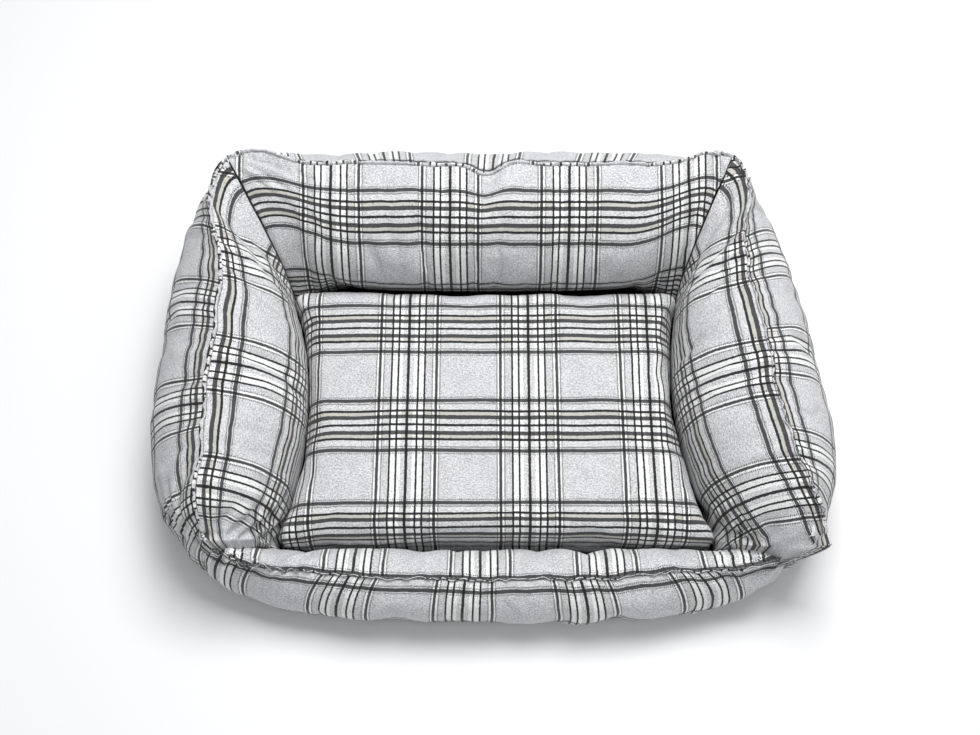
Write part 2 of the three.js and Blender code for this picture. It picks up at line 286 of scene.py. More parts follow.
@dataclass(frozen=True)
class PlaidCloth:
    """The check cloth: a heathered twill with black, charcoal, white and beige lines both ways.

    Attributes:
        warp_repeat: the width of one repeat of the lines that run down the cloth.
        weft_repeat: the same for the lines that run across it.
        warp_bands: where each band starts, out from its group's middle in shares of the repeat, and its yarn.
        weft_bands: the same for the lines that run across.
        twill: the pitch of the twill's diagonals.
        wander: how far the lines stray from straight.
        heather: how strongly single fibres, slubs and broad mottling shade the ground.
        worn_ink: how much of the ink the shading takes off the warp and the weft lines.
        cover: how well beige, white, flecks, ink and dots cover what is under them.
        relief: the height of the weave and its fuzz.
    """

    warp_repeat: float = 0.133
    weft_repeat: float = 0.119
    twill: float = 2.3 * MM
    wander: float = 1.5 * MM
    heather: tuple[float, float, float] = (4.2, 2.2, 0.6)
    worn_ink: tuple[float, float] = (0.05, 0.03)
    cover: tuple[float, float, float, float, float] = (0.85, 0.93, 0.85, 0.998, 0.97)
    relief: float = 0.40 * MM
    ground_light: Colour = (0.74, 0.743, 0.755)
    ground_dark: Colour = (0.40, 0.402, 0.415)
    fleck: Colour = (0.10, 0.10, 0.105)
    white: Colour = (0.86, 0.86, 0.85)
    beige: Colour = (0.52, 0.51, 0.455)
    ink: Colour = (0.008, 0.008, 0.009)
    warp_bands: tuple = (
        (0.0, INK), (0.0088, PALE), (0.0440, WHITE), (0.0715, INK), (0.0885, WHITE), (0.1265, INK),
        (0.1415, GROUND), (0.1925, DOTTED), (0.2040, WHITE), (0.2210, CHARCOAL), (0.2425, WHITE),
        (0.2550, DOTTED), (0.2665, GROUND))
    weft_bands: tuple = (
        (0.0, INK), (0.0112, PALE), (0.0585, CHARCOAL), (0.0965, BEIGE), (0.1285, INK),
        (0.1515, PALE), (0.2055, DOTTED), (0.2190, PALE), (0.2290, CHARCOAL), (0.2625, PALE),
        (0.2715, DOTTED), (0.2850, GROUND))

    def _group(self, shader: Shader, along: Value, repeat: float, bands: tuple) -> list[Value]:
        """The ink, white and third masks of one direction's bands; the third holds beige and dotted lines."""
        from_middle = ((along / repeat + 0.5).fraction() - 0.5).size()
        return shader.masks(from_middle, bands)

    def material(self, name: str) -> bpy.types.Material:
        """Builds the cloth's material, which reads the piece's own flat cloth coordinates.

        Args:
            name: the material's name.

        Returns:
            The material.
        """
        shader = Shader(name)
        flat, across, down = shader.place("UV")
        across_stray = shader.noise(flat, 420.0)
        down_stray = shader.noise(shader.stretched(flat, (1.0, -1.0, 1.0)), 380.0)
        u = across + (across_stray - 0.5) * self.wander
        v = down + (down_stray - 0.5) * self.wander

        warp_ink, warp_white, warp_dots = self._group(shader, u, self.warp_repeat, self.warp_bands)
        weft_ink, weft_white, weft_marks = self._group(shader, v, self.weft_repeat, self.weft_bands)
        diagonal = ((u + v) * (2.0 * math.pi / self.twill)).wave()
        rib = ((u - v) * (2.0 * math.pi / (self.twill * 0.5))).wave()
        over = diagonal.above(0.1)

        fibres = shader.noise(flat, 620.0, 2.0, 0.6)
        slubs = shader.noise(shader.stretched(flat, (240.0, 1100.0, 1.0)), 1.0)
        mottle = shader.noise(flat, 60.0, 3.0)
        fleck_places = shader.noise(flat, 110.0).ramp(0.38, 0.55)
        flecks = shader.noise(flat, 760.0, 1.0).ramp(0.62, 0.67) * fleck_places
        by_fibres, by_slubs, by_mottle = self.heather
        shade = (fibres - 0.5) * by_fibres + (slubs - 0.5) * by_slubs + (mottle - 0.5) * by_mottle

        beige_cover, white_cover, fleck_cover, ink_cover, dot_cover = self.cover
        colour = shader.mix(shade + 0.5, self.ground_light, self.ground_dark)
        colour = shader.mix(weft_white, colour, self.white)
        beige = (weft_marks - BEIGE_MARK).size().below(0.1)
        colour = shader.mix(beige * (beige_cover - shade * 0.5), colour, self.beige)
        colour = shader.mix(warp_white * (white_cover - shade * 0.35), colour, self.white)
        colour = shader.mix(flecks * fleck_cover, colour, self.fleck)
        weft_dots = weft_marks.above(0.9)
        worn = shade.ramp(-0.9, 0.9)
        keep_warp = 1.0 - warp_ink * (ink_cover - worn * self.worn_ink[0])
        keep_weft = 1.0 - weft_ink * (ink_cover - worn * self.worn_ink[1] - over * 0.02)
        keep_dots = (1.0 - warp_dots * over * dot_cover) * (1.0 - weft_dots * over * dot_cover)
        colour = shader.mix(1.0 - keep_warp * keep_weft * keep_dots, colour, self.ink)

        fuzz = shader.noise(flat, 2600.0)
        shader.bump(diagonal * 0.15 + rib * 0.12 + fuzz * 0.6 + fibres * 0.6, self.relief, 0.8)
        return shader.finish(Base_Color=colour, Roughness=0.92, Sheen_Weight=0.15, Sheen_Roughness=0.6,
                             Specular_IOR_Level=0.18)


@dataclass(frozen=True)
class PlainCloth:
    """A plain woven cloth, such as a lining, a tape or thread."""

    colour: Colour
    thread: float
    roughness: float = 0.9

    def material(self, name: str) -> bpy.types.Material:
        """Builds the material: a plain weave on the piece's own place.

        Args:
            name: the material's name.

        Returns:
            The material.
        """
        shader = Shader(name)
        place, x, y = shader.place("Object")
        turns = 2.0 * math.pi / self.thread
        weave = (x * turns).wave() * (y * turns).wave()
        mottle = shader.noise(place, 160.0, 3.0)
        shade = (mottle - 0.5) * 0.5 + weave * 0.12 + 0.3
        colour = shader.mix(shade, self.colour, tuple(0.55 * c for c in self.colour))
        shader.bump(weave * 0.5 + shader.noise(place, 2400.0, 2.0), 0.18 * MM, 0.7)
        return shader.finish(Base_Color=colour, Roughness=self.roughness, Sheen_Weight=0.15,
                             Specular_IOR_Level=0.2)


@dataclass(frozen=True)
class LooseFibre:
    """White polyester fibre filling, in tangled tufts."""

    colour: Colour = (0.86, 0.86, 0.84)

    def material(self, name: str) -> bpy.types.Material:
        """Builds the material.

        Args:
            name: the material's name.

        Returns:
            The material.
        """
        shader = Shader(name)
        place, _, _ = shader.place("Object")
        tufts = shader.noise(place, 45.0, 4.0, 0.65)
        strands = shader.noise(shader.stretched(place, (900.0, 160.0, 420.0)), 1.0, 3.0)
        colour = shader.mix((tufts - 0.4) * 0.6, self.colour, (0.62, 0.62, 0.60))
        shader.bump(tufts + strands * 0.35, 3.0 * MM, 0.8)
        return shader.finish(Base_Color=colour, Roughness=0.96, Sheen_Weight=0.3, Specular_IOR_Level=0.15)


@dataclass(frozen=True)
class CastMetal:
    """Plated die-cast metal, with faint stains and fine scratches."""

    colour: Colour = (0.56, 0.56, 0.57)

    def material(self, name: str) -> bpy.types.Material:
        """Builds the material.

        Args:
            name: the material's name.

        Returns:
            The material.
        """
        shader = Shader(name)
        place, _, _ = shader.place("Object")
        scratches = shader.noise(shader.stretched(place, (300.0, 300.0, 6000.0)), 1.0, 2.0)
        stain = shader.noise(place, 700.0, 3.0)
        colour = shader.mix(stain.ramp(0.45, 0.7) * 0.35, self.colour, (0.34, 0.33, 0.32))
        shader.bump(scratches, 0.04 * MM, 0.5)
        return shader.finish(Base_Color=colour, Metallic=1.0, Roughness=scratches * 0.2 + 0.25)


@dataclass(frozen=True)
class MouldedNylon:
    """The zip's nylon."""

    colour: Colour = (0.10, 0.105, 0.115)

    def material(self, name: str) -> bpy.types.Material:
        """Builds the material.

        Args:
            name: the material's name.

        Returns:
            The material.
        """
        shader = Shader(name)
        place, _, _ = shader.place("Object")
        grain = shader.noise(place, 2200.0, 2.0)
        colour = shader.mix(grain * 0.5, self.colour, tuple(1.5 * c for c in self.colour))
        shader.bump(grain, 0.05 * MM, 0.4)
        return shader.finish(Base_Color=colour, Roughness=grain * 0.15 + 0.35)


@dataclass(frozen=True)
class StudioFloor:
    """Matt pale floor."""

    colour: Colour = (0.86, 0.86, 0.86)

    def material(self, name: str) -> bpy.types.Material:
        """Builds the material.

        Args:
            name: the material's name.

        Returns:
            The material.
        """
        shader = Shader(name)
        place, _, _ = shader.place("Object")
        tone = shader.noise(place, 3.0, 2.0)
        colour = shader.mix(tone * 0.1, self.colour, tuple(0.96 * c for c in self.colour))
        return shader.finish(Base_Color=colour, Roughness=0.85)


class Finishes:
    """Every material, made once."""

    def __init__(self) -> None:
        """Builds the materials."""
        self.plaid = PlaidCloth().material("plaid_cloth")
        self.lining = PlainCloth((0.16, 0.165, 0.18), 0.9 * MM).material("lining_cloth")
        self.base = PlainCloth((0.022, 0.022, 0.024), 1.2 * MM, 0.8).material("base_cloth")
        self.dots = MouldedNylon((0.02, 0.02, 0.022)).material("grip_dots")
        self.tape = PlainCloth((0.13, 0.135, 0.145), 0.7 * MM).material("zip_tape")
        self.thread = PlainCloth((0.42, 0.42, 0.43), 0.4 * MM, 0.7).material("sewing_thread")
        self.fibre = LooseFibre().material("polyester_fibre")
        self.metal = CastMetal().material("zip_metal")
        self.nylon = MouldedNylon().material("zip_nylon")
        self.floor = StudioFloor().material("studio_floor")


# ---- The bed's plan, as the frame has it ----------------------------------------------------------------


class Side(Enum):
    """The four walls."""

    BACK = "back"
    LEFT = "left"
    RIGHT = "right"
    FRONT = "front"

    @property
    def runs_along_y(self) -> bool:
        """Whether the wall runs from front to back."""
        return self in (Side.LEFT, Side.RIGHT)


Controls = tuple[tuple[float, float], ...]


@dataclass(frozen=True)
class WallEnd:
    """How a wall's section changes as it comes up to the seam at one of its ends.

    Attributes:
        ridge: the ridge's height at the end.
        reach: how far along the wall the change spreads.
        outer: the outer half's control points at the end.
        inner: the inner half's control points at the end.
        well_shift: how far the well's corner is moved in plan.
        ease: how the change fades along the wall: 2 is bell-shaped, and 1 leaves at once.
    """

    ridge: float
    reach: float
    outer: Controls
    inner: Controls
    well_shift: tuple[float, float] = (0.0, 0.0)
    ease: float = 2.0


def even_end(ridge: float, share: float, reach: float, well_shift: tuple[float, float]) -> WallEnd:
    """A seam between two walls of one height: the inner halves meet in a deep crease."""
    return WallEnd(ridge, reach, ((0.12, 0.0), (-0.04, 0.42), (share - 0.03, 0.80), (share, 1.0)),
                   ((share, 1.0), (share + 0.24, 0.95), (0.99, 0.66), (0.97, 0.0)), well_shift)


@dataclass(frozen=True)
class BedPlan:
    """The bed's outline, its well and its wall sections, with the same rules as the frame's solids.

    Attributes:
        half_width, depth_front, depth_back: the outline's reach from the plan's origin.
        taper_left, taper_right: how much narrower each side is at the back.
        front_power, back_power: the superellipse powers of the outline's corners.
        well_left, well_right: each side of the well, in front and at the back.
        well_middle, well_half: the well's place along the depth.
        well_power: the superellipse power of the well's corners.
        belly_bow: how far the left and the right wall bow into the well at mid depth.
        well_corner_reach: how far along a wall the move of a well corner spreads.
        stretch_per_s: how much of a wall's half length one unit of s covers at its ends.
        zip_middle: the middle of the cushion's zip.
        foot: the height that the walls stand at, on the base cloth.
        back_ridge, front_ridge: the heights of the ridge seams.
        front_ridge_rise: how much the front one rises towards its ends.
        back_ridge_sag: how much the back one sags in the middle.
        side_fall: how much the side ones fall towards the front.
        outer_side to inner_front: each half section's control points, as shares of its width and height.
        back_left to front_right: the walls' ends. The two side_front ends are the side walls' own.
    """

    half_width: float = 0.382
    depth_front: float = 0.272
    depth_back: float = 0.2665
    taper_left: float = 0.07
    taper_right: float = 0.205
    front_power: float = 3.2
    back_power: float = 5.5
    well_left: tuple[float, float] = (-0.239, -0.235)
    well_right: tuple[float, float] = (0.237, 0.209)
    well_middle: float = -0.048
    well_half: float = 0.149
    well_power: float = 14.0
    belly_bow: tuple[float, float] = (0.026, 0.024)
    well_corner_reach: float = 0.030
    stretch_per_s: float = 0.82
    zip_middle: float = -0.0025
    foot: float = 0.0028
    back_ridge: float = 0.197
    front_ridge: float = 0.092
    front_ridge_rise: float = 0.008
    back_ridge_sag: float = 0.004
    side_fall: float = 0.024
    outer_side: Controls = ((0.10, 0.0), (-0.15, 0.42), (0.06, 0.87), (0.465, 1.0))
    inner_side: Controls = ((0.465, 1.0), (0.74, 1.0), (1.22, 0.62), (0.88, 0.0))
    outer_back: Controls = ((0.10, 0.0), (-0.15, 0.42), (0.06, 0.87), (0.36, 1.0))
    inner_back: Controls = ((0.36, 1.0), (0.70, 0.99), (1.42, 0.72), (0.60, 0.0))
    outer_front: Controls = ((0.10, 0.0), (-0.14, 0.42), (0.04, 0.98), (0.40, 1.0))
    inner_front: Controls = ((0.40, 1.0), (0.82, 1.04), (1.12, 0.66), (0.93, 0.0))
    back_left: WallEnd = even_end(0.198, 0.17, 0.058, (-0.004, 0.004))
    back_right: WallEnd = even_end(0.197, 0.15, 0.045, (0.004, 0.004))
    side_front_left: WallEnd = WallEnd(
        0.140, 0.033, ((0.10, 0.0), (-0.16, 0.42), (-0.06, 0.80), (0.10, 1.0)),
        ((0.10, 1.0), (0.42, 0.86), (1.06, 0.70), (0.96, 0.0)), (-0.004, -0.003), 1.0)
    side_front_right: WallEnd = WallEnd(
        0.158, 0.036, ((0.10, 0.0), (-0.10, 0.36), (-0.16, 0.80), (-0.36, 1.0)),
        ((-0.36, 1.0), (0.12, 0.62), (1.04, 0.66), (0.96, 0.0)), (0.004, -0.003), 1.0)
    front_left: WallEnd = WallEnd(
        0.120, 0.060, ((0.10, 0.0), (-0.14, 0.42), (-0.06, 0.80), (0.13, 1.0)),
        ((0.13, 1.0), (0.45, 0.86), (1.05, 0.66), (0.95, 0.0)), (-0.004, -0.003))
    front_right: WallEnd = WallEnd(
        0.094, 0.055, ((0.10, 0.0), (-0.12, 0.42), (-0.04, 0.80), (0.08, 1.0)),
        ((0.08, 1.0), (0.40, 1.04), (1.05, 0.70), (0.95, 0.0)), (0.004, -0.003))

    def shift(self) -> Array:
        """How far the frame's origin lies from this plan's: the frame centres its footprint."""
        coil_low, coil_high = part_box("zip_coil")
        low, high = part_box("floor_lining")
        return np.array([(coil_low.x + coil_high.x) / 2 - self.zip_middle,
                         (low.y + high.y) / 2 - self.well_middle])

    def ends(self, side: Side) -> tuple[WallEnd, WallEnd]:
        """The wall's end at s = -1 and its end at s = 1."""
        return {Side.BACK: (self.back_left, self.back_right), Side.FRONT: (self.front_left, self.front_right),
                Side.LEFT: (self.side_front_left, self.back_left),
                Side.RIGHT: (self.side_front_right, self.back_right)}[side]

    def near_end(self, side: Side, s: Array, first: bool, reach: float, ease: float = 2.0) -> Array:
        """A weight from 1 at one end of a wall to 0 beyond a reach from it."""
        length = (self.depth_front + self.depth_back) / 2 if side.runs_along_y else self.half_width
        away = length * self.stretch_per_s * np.maximum(1 + s if first else 1 - s, 0)
        return np.exp(-(away / reach) ** ease)

    def outline(self, side: Side, s: Array) -> Array:
        """The fullest outline of the outer panels.

        Args:
            side: the wall.
            s: places along it, -1 to 1 between its mitres.

        Returns:
            Points in plan, shape (..., 2).
        """
        to_back = np.full(s.shape, side is Side.BACK) | ((s > 0) & side.runs_along_y)
        power = np.where(to_back, self.back_power, self.front_power)
        along = 0.5 ** (1 / power) * s
        across = (1 - np.abs(along) ** power) ** (1 / power)
        x, y = {Side.BACK: (along, across), Side.FRONT: (along, -across),
                Side.LEFT: (-across, along), Side.RIGHT: (across, along)}[side]
        taper = np.where(x < 0, self.taper_left, self.taper_right)
        width = self.half_width * (1 - taper * ((y + 1) / 2) ** 1.5)
        return np.stack([x * width, y * np.where(y < 0, self.depth_front, self.depth_back)], -1)

    def well(self, side: Side, s: Array) -> Array:
        """The line where a wall's belly faces the well.

        Args:
            side: the wall.
            s: places along it, -1 to 1 between its mitres.

        Returns:
            Points in plan, shape (..., 2).
        """
        along = 0.5 ** (1 / self.well_power) * s
        across = (1 - np.abs(along) ** self.well_power) ** (1 / self.well_power)
        x, y = {Side.BACK: (along, across), Side.FRONT: (along, -across),
                Side.LEFT: (-across, along), Side.RIGHT: (across, along)}[side]
        left, right = self.well_sides(y, (1 - s * s) * side.runs_along_y)
        plan = np.stack([(left + right) / 2 + x * (right - left) / 2,
                         self.well_middle + y * self.well_half], -1)
        for end, first in zip(self.ends(side), (True, False)):
            weight = self.near_end(side, s, first, self.well_corner_reach)
            plan = plan + np.array(end.well_shift) * weight[..., None]
        return plan

    def well_sides(self, depth: Array, lean: Array) -> tuple[Array, Array]:
        """The well's left and right sides.

        Args:
            depth: shares of the well's depth, -1 in front to 1 at the back.
            lean: the share of the bellies' bow that counts there.

        Returns:
            The two sides, in plan.
        """
        left, right = (front + (back - front) * (depth + 1) / 2
                       for front, back in (self.well_left, self.well_right))
        return left + self.belly_bow[0] * lean, right - self.belly_bow[1] * lean

    def beside_bellies(self, y: Array, margin: float) -> tuple[Array, Array]:
        """The left and right limits of what lies between the side walls' bellies, in the frame.

        Args:
            y: places along the depth, in the frame.
            margin: how far from the bellies.

        Returns:
            The two limits.
        """
        dx, dy = self.shift()
        depth = np.clip((y - dy - self.well_middle) / self.well_half, -1, 1)
        left, right = self.well_sides(depth, 1 - depth ** 2)
        return left + margin + dx, right - margin + dx

    def ridge_height(self, side: Side, s: Array) -> Array:
        """The height of a wall's ridge seam at places along it."""
        if side is Side.BACK:
            height = self.back_ridge - self.back_ridge_sag * (1 - s * s)
        elif side is Side.FRONT:
            height = self.front_ridge + self.front_ridge_rise * s * s
        else:
            height = self.back_ridge - self.side_fall * np.maximum(0, -s) ** 1.6
        for end, first in zip(self.ends(side), (True, False)):
            weight = self.near_end(side, s, first, 0.6 * end.reach)
            height = height + (end.ridge - height) * weight
        return height

    def controls(self, side: Side, outer: bool, s: Array) -> tuple[Array, Array]:
        """The section's control points at places along a wall.

        Args:
            side: the wall.
            outer: the outer half or the inner one.
            s: places along the wall.

        Returns:
            Shares of the width and of the height, shape (4, len(s), 1) each.
        """
        sections = {Side.BACK: (self.outer_back, self.inner_back),
                    Side.FRONT: (self.outer_front, self.inner_front)}
        base = sections.get(side, (self.outer_side, self.inner_side))[0 if outer else 1]
        points = np.array(base)[:, :, None] + 0 * s
        for end, first in zip(self.ends(side), (True, False)):
            goal = np.array(end.outer if outer else end.inner)[:, :, None]
            points = points + (goal - points) * self.near_end(side, s, first, end.reach, end.ease)
        return points[:, 0, :, None], points[:, 1, :, None]

    def skin(self, side: Side, outer: bool, s: Array, v: Array, inset: float) -> Array:
        """Points on a wall's skin.

        Args:
            side: the wall.
            outer: the outer panel, from the base up to the ridge, or else the inner one, from the ridge down.
            s: places along the wall.
            v: places along the section's curve, 0 to 1.
            inset: how far under the surface.

        Returns:
            Points, shape (len(s), len(v), 3).
        """
        out, inn = self.outline(side, s)[:, None], self.well(side, s)[:, None]
        width = np.linalg.norm(inn - out, axis=-1)
        rise = (self.ridge_height(side, s) - self.foot)[:, None]
        shares, heights = self.controls(side, outer, s)
        across, across_slope = cubic(shares, v)
        height, height_slope = cubic(heights, v)
        dq, dz = width * across_slope, rise * height_slope
        length = np.hypot(dq, dz)
        q = width * across + inset * dz / length
        z = np.maximum(self.foot + rise * height - inset * dq / length, self.foot)
        plan = out + (inn - out) * (q / width)[..., None] + self.shift()
        return np.concatenate([plan, z[..., None]], -1)


def cubic(p: Array, v: Array) -> tuple[Array, Array]:
    """Value and slope of a cubic Bezier.

    Args:
        p: its four control numbers, along the first axis.
        v: places along the curve.

    Returns:
        The values and the slopes.
    """
    u = 1 - v
    value = u ** 3 * p[0] + 3 * u * u * v * p[1] + 3 * u * v * v * p[2] + v ** 3 * p[3]
    slope = 3 * (u * u * (p[1] - p[0]) + 2 * u * v * (p[2] - p[1]) + v * v * (p[3] - p[2]))
    return value, slope


def signed_power(value: Array, power: float) -> Array:
    """A power of a number's size, with the number's own sign."""
    return np.sign(value) * np.abs(value) ** power


def ripple(seed: int, along: Array, wavelength: float) -> Array:
    """Smooth seeded noise along a line, from about -1 to 1: four waves, each shorter and lower than the last.

    Args:
        seed: the seed.
        along: places along the line.
        wavelength: the longest wave.

    Returns:
        The noise at each place.
    """
    rng = np.random.default_rng(seed)
    total = np.zeros_like(along)
    for layer in range(4):
        length = wavelength * (0.45 + 0.55 * rng.random()) / (1 + 0.6 * layer)
        total += np.sin(2 * math.pi * along / length + 2 * math.pi * rng.random()) / (1 + 0.5 * layer)
    return total / 2.2


# ---- Meshes --------------------------------------------------------------------------------------------


def surface_normals(points: Array) -> Array:
    """Unit normals of a grid of points: the first direction crossed with the second."""
    first = np.gradient(points, axis=0)
    second = np.gradient(points, axis=1)
    normal = np.cross(first, second)
    return normal / np.maximum(np.linalg.norm(normal, axis=-1, keepdims=True), 1e-12)


def lengths_along(points: Array, axis: int) -> Array:
    """Running length along one axis of a grid of points, from 0."""
    steps = np.linalg.norm(np.diff(points, axis=axis), axis=-1)
    start = np.zeros_like(np.take(steps, [0], axis=axis))
    return np.concatenate([start, np.cumsum(steps, axis=axis)], axis=axis)


def add_object(name: str, mesh: bpy.types.Mesh) -> bpy.types.Object:
    """Links a new object with this mesh to the scene."""
    made = bpy.data.objects.new(name, mesh)
    bpy.context.scene.collection.objects.link(made)
    return made


def grid_object(name: str, points: Array, flat: Array | None = None,
                turned: bool = False) -> bpy.types.Object:
    """Makes an open sheet from a grid of points.

    Args:
        name: the object's name.
        points: shape (rows, columns, 3); its normals follow rows crossed with columns.
        flat: each point's place on the flat cloth, shape (rows, columns, 2), or None.
        turned: whether its normals are turned round.

    Returns:
        The object.
    """
    rows, columns = points.shape[:2]
    number = np.arange(rows * columns).reshape(rows, columns)
    quads = np.stack([number[:-1, :-1], number[1:, :-1], number[1:, 1:], number[:-1, 1:]], -1).reshape(-1, 4)
    mesh = bpy.data.meshes.new(name)
    mesh.from_pydata(points.reshape(-1, 3).tolist(), [], quads.tolist())
    if flat is not None:
        layer = mesh.uv_layers.new(name="flat_cloth")
        layer.data.foreach_set("uv", flat.reshape(-1, 2)[quads.ravel()].ravel())
    if turned:
        mesh.flip_normals()
    mesh.shade_smooth()
    return add_object(name, mesh)


def loft_object(name: str, rings: Array, flat: Array | None = None) -> bpy.types.Object:
    """Makes a closed body from rings of points, with fan ends.

    Args:
        name: the object's name.
        rings: shape (rings, points, 3).
        flat: each point's place on the flat cloth, shape (rings, points, 2), or None.

    Returns:
        The object, with its normals outwards.
    """
    count, size = rings.shape[:2]
    number = np.arange(count * size).reshape(count, size)
    wrapped = np.roll(number, -1, axis=1)
    quads = np.stack([number[:-1], wrapped[:-1], wrapped[1:], number[1:]], -1).reshape(-1, 4).tolist()
    points = rings.reshape(-1, 3).tolist()
    ends = [rings[0].mean(0).tolist(), rings[-1].mean(0).tolist()]
    fans = [[len(points), int(b), int(a)] for a, b in zip(number[0], wrapped[0])]
    fans += [[len(points) + 1, int(a), int(b)] for a, b in zip(number[-1], wrapped[-1])]
    mesh = bpy.data.meshes.new(name)
    mesh.from_pydata(points + ends, [], quads + fans)
    if flat is not None:
        middle = [flat[0].mean(0), flat[-1].mean(0)]
        places = np.concatenate([flat.reshape(-1, 2), middle])
        layer = mesh.uv_layers.new(name="flat_cloth")
        corners = np.array([loop.vertex_index for loop in mesh.loops])
        layer.data.foreach_set("uv", places[corners].ravel())
    turn_outwards(mesh)
    mesh.shade_smooth()
    return add_object(name, mesh)


def turn_outwards(mesh: bpy.types.Mesh) -> None:
    """Recalculates a closed mesh's normals so that they point outwards."""
    work = bmesh.new()
    work.from_mesh(mesh)
    bmesh.ops.recalc_face_normals(work, faces=work.faces)
    work.to_mesh(mesh)
    work.free()


def thicken(piece: bpy.types.Object, thickness: float, smoothed: bool = True) -> None:
    """Gives a sheet its thickness, inwards, and smooths it.

    Args:
        piece: the sheet, with its normals outwards.
        thickness: the cloth's thickness.
        smoothed: whether it is subdivided once.
    """
    solid = piece.modifiers.new("cloth_thickness", "SOLIDIFY")
    solid.thickness = thickness
    solid.offset = -1.0
    if smoothed:
        smooth = piece.modifiers.new("smooth", "SUBSURF")
        smooth.levels = smooth.render_levels = 1
        smooth.uv_smooth = "PRESERVE_BOUNDARIES"


def dress(piece: bpy.types.Object, material: bpy.types.Material, body: str,
          replaced: Sequence[str] = ()) -> bpy.types.Object:
    """Args:
        piece: the finished object.
        material: its material.
        body: the body that it rides on.
        replaced: the CAD nodes that it stands for.

    Returns:
        The piece.
    """
    if not piece.data.materials:
        piece.data.materials.append(material)
    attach(piece, body)
    if replaced:
        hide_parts(*replaced)
    LOG.info("%s: %d faces on %s", piece.name, len(piece.data.polygons), body)
    return piece


# ---- Cloth simulation ----------------------------------------------------------------------------------


@dataclass
class ClothRun:
    """One run of cloth simulation over every stuffed sheet at once."""

    frames: int = 22
    grow: float = 0.028
    pressure: float = 4.0
    sheets: dict[str, tuple[bpy.types.Object, Array, float]] = field(default_factory=dict)

    def add(self, name: str, sheet: bpy.types.Object, hold: Array, cap: float, pressure: float = 1.0) -> None:
        """Adds a sheet.

        Args:
            name: the name to ask for its result by.
            sheet: the sheet; it is used up by the run.
            hold: how firmly each point is held, 0 to 1.
            cap: the furthest that a point may move.
            pressure: a share of the run's pressure.
        """
        group = sheet.vertex_groups.new(name="held")
        for level in np.unique(np.round(hold, 2)):
            if level > 0:
                members = np.flatnonzero(np.round(hold, 2) == level).tolist()
                group.add(members, float(level), "REPLACE")
        cloth = sheet.modifiers.new("cloth", "CLOTH")
        settings = cloth.settings
        settings.quality = 5
        settings.mass = 0.25
        settings.tension_stiffness = settings.compression_stiffness = 14.0
        settings.shear_stiffness = 6.0
        settings.bending_stiffness = 0.35
        settings.tension_damping = settings.compression_damping = settings.shear_damping = 8.0
        settings.bending_damping = 1.0
        settings.air_damping = 2.0
        settings.shrink_min = -self.grow
        settings.use_pressure = True
        settings.uniform_pressure_force = self.pressure * pressure
        settings.vertex_group_mass = "held"
        settings.effector_weights.gravity = 0.0
        cloth.collision_settings.use_collision = False
        cloth.collision_settings.use_self_collision = False
        cloth.point_cache.frame_start = 1
        cloth.point_cache.frame_end = self.frames
        start = read_points(sheet.data)
        self.sheets[name] = (sheet, start, cap)

    def run(self) -> dict[str, Array]:
        """Returns:
            Each sheet's settled points, in the order that they were given.
        """
        scene = bpy.context.scene
        results = {name: start for name, (_, start, _) in self.sheets.items()}
        scene.frame_start, scene.frame_end = 1, self.frames
        for number in range(1, self.frames + 1):
            scene.frame_set(number)
        graph = bpy.context.evaluated_depsgraph_get()
        for name, (sheet, start, cap) in self.sheets.items():
            moved = read_points(sheet.evaluated_get(graph).data) - start
            far = np.linalg.norm(moved, axis=1, keepdims=True)
            eased = cap * np.tanh(far / cap) / np.maximum(far, 1e-9)
            results[name] = start + moved * eased
            LOG.info("%s settled: moved %.1f mm at most", name, 1000 * float(far.max()))
        scene.frame_set(1)
        for sheet, _, _ in self.sheets.values():
            mesh = sheet.data
            bpy.data.objects.remove(sheet)
            bpy.data.meshes.remove(mesh)
        return results


def read_points(mesh: bpy.types.Mesh) -> Array:
    """The places of a mesh's points, shape (count, 3)."""
    flat = np.empty(len(mesh.vertices) * 3, np.float32)
    mesh.vertices.foreach_get("co", flat)
    return flat.reshape(-1, 3).astype(float)


# ---- What repeats --------------------------------------------------------------------------------------


def node_group(name: str, inputs: Sequence[tuple[str, str, Any]]) -> bpy.types.NodeTree:
    """Starts a geometry node tree with named inputs.

    Args:
        name: the tree's name.
        inputs: each input's name, socket type and default.

    Returns:
        The tree, with its group input and output nodes in place.
    """
    tree = bpy.data.node_groups.new(name, "GeometryNodeTree")
    tree.interface.new_socket(name="Geometry", in_out="INPUT", socket_type="NodeSocketGeometry")
    for label, kind, default in inputs:
        socket = tree.interface.new_socket(name=label, in_out="INPUT", socket_type=kind)
        if default is not None:
            socket.default_value = default
    tree.interface.new_socket(name="Geometry", in_out="OUTPUT", socket_type="NodeSocketGeometry")
    tree.nodes.new("NodeGroupInput")
    tree.nodes.new("NodeGroupOutput")
    return tree


def plain_result(carrier: bpy.types.Object, tree: bpy.types.NodeTree, name: str,
                 values: dict[str, Any]) -> bpy.types.Object:
    """Runs a tree on an object and keeps the result as a plain mesh.

    Args:
        carrier: the object that carries the path or points; it is used up.
        tree: the geometry node tree.
        name: the new piece's name.
        values: the tree's inputs by name.

    Returns:
        The new piece.
    """
    modifier = carrier.modifiers.new("repeat", "NODES")
    modifier.node_group = tree
    for item in tree.interface.items_tree:
        if item.item_type == "SOCKET" and item.in_out == "INPUT" and item.name in values:
            modifier[item.identifier] = values[item.name]
    graph = bpy.context.evaluated_depsgraph_get()
    mesh = bpy.data.meshes.new_from_object(carrier.evaluated_get(graph))
    mesh.name = name
    bpy.data.objects.remove(carrier)
    return add_object(name, mesh)


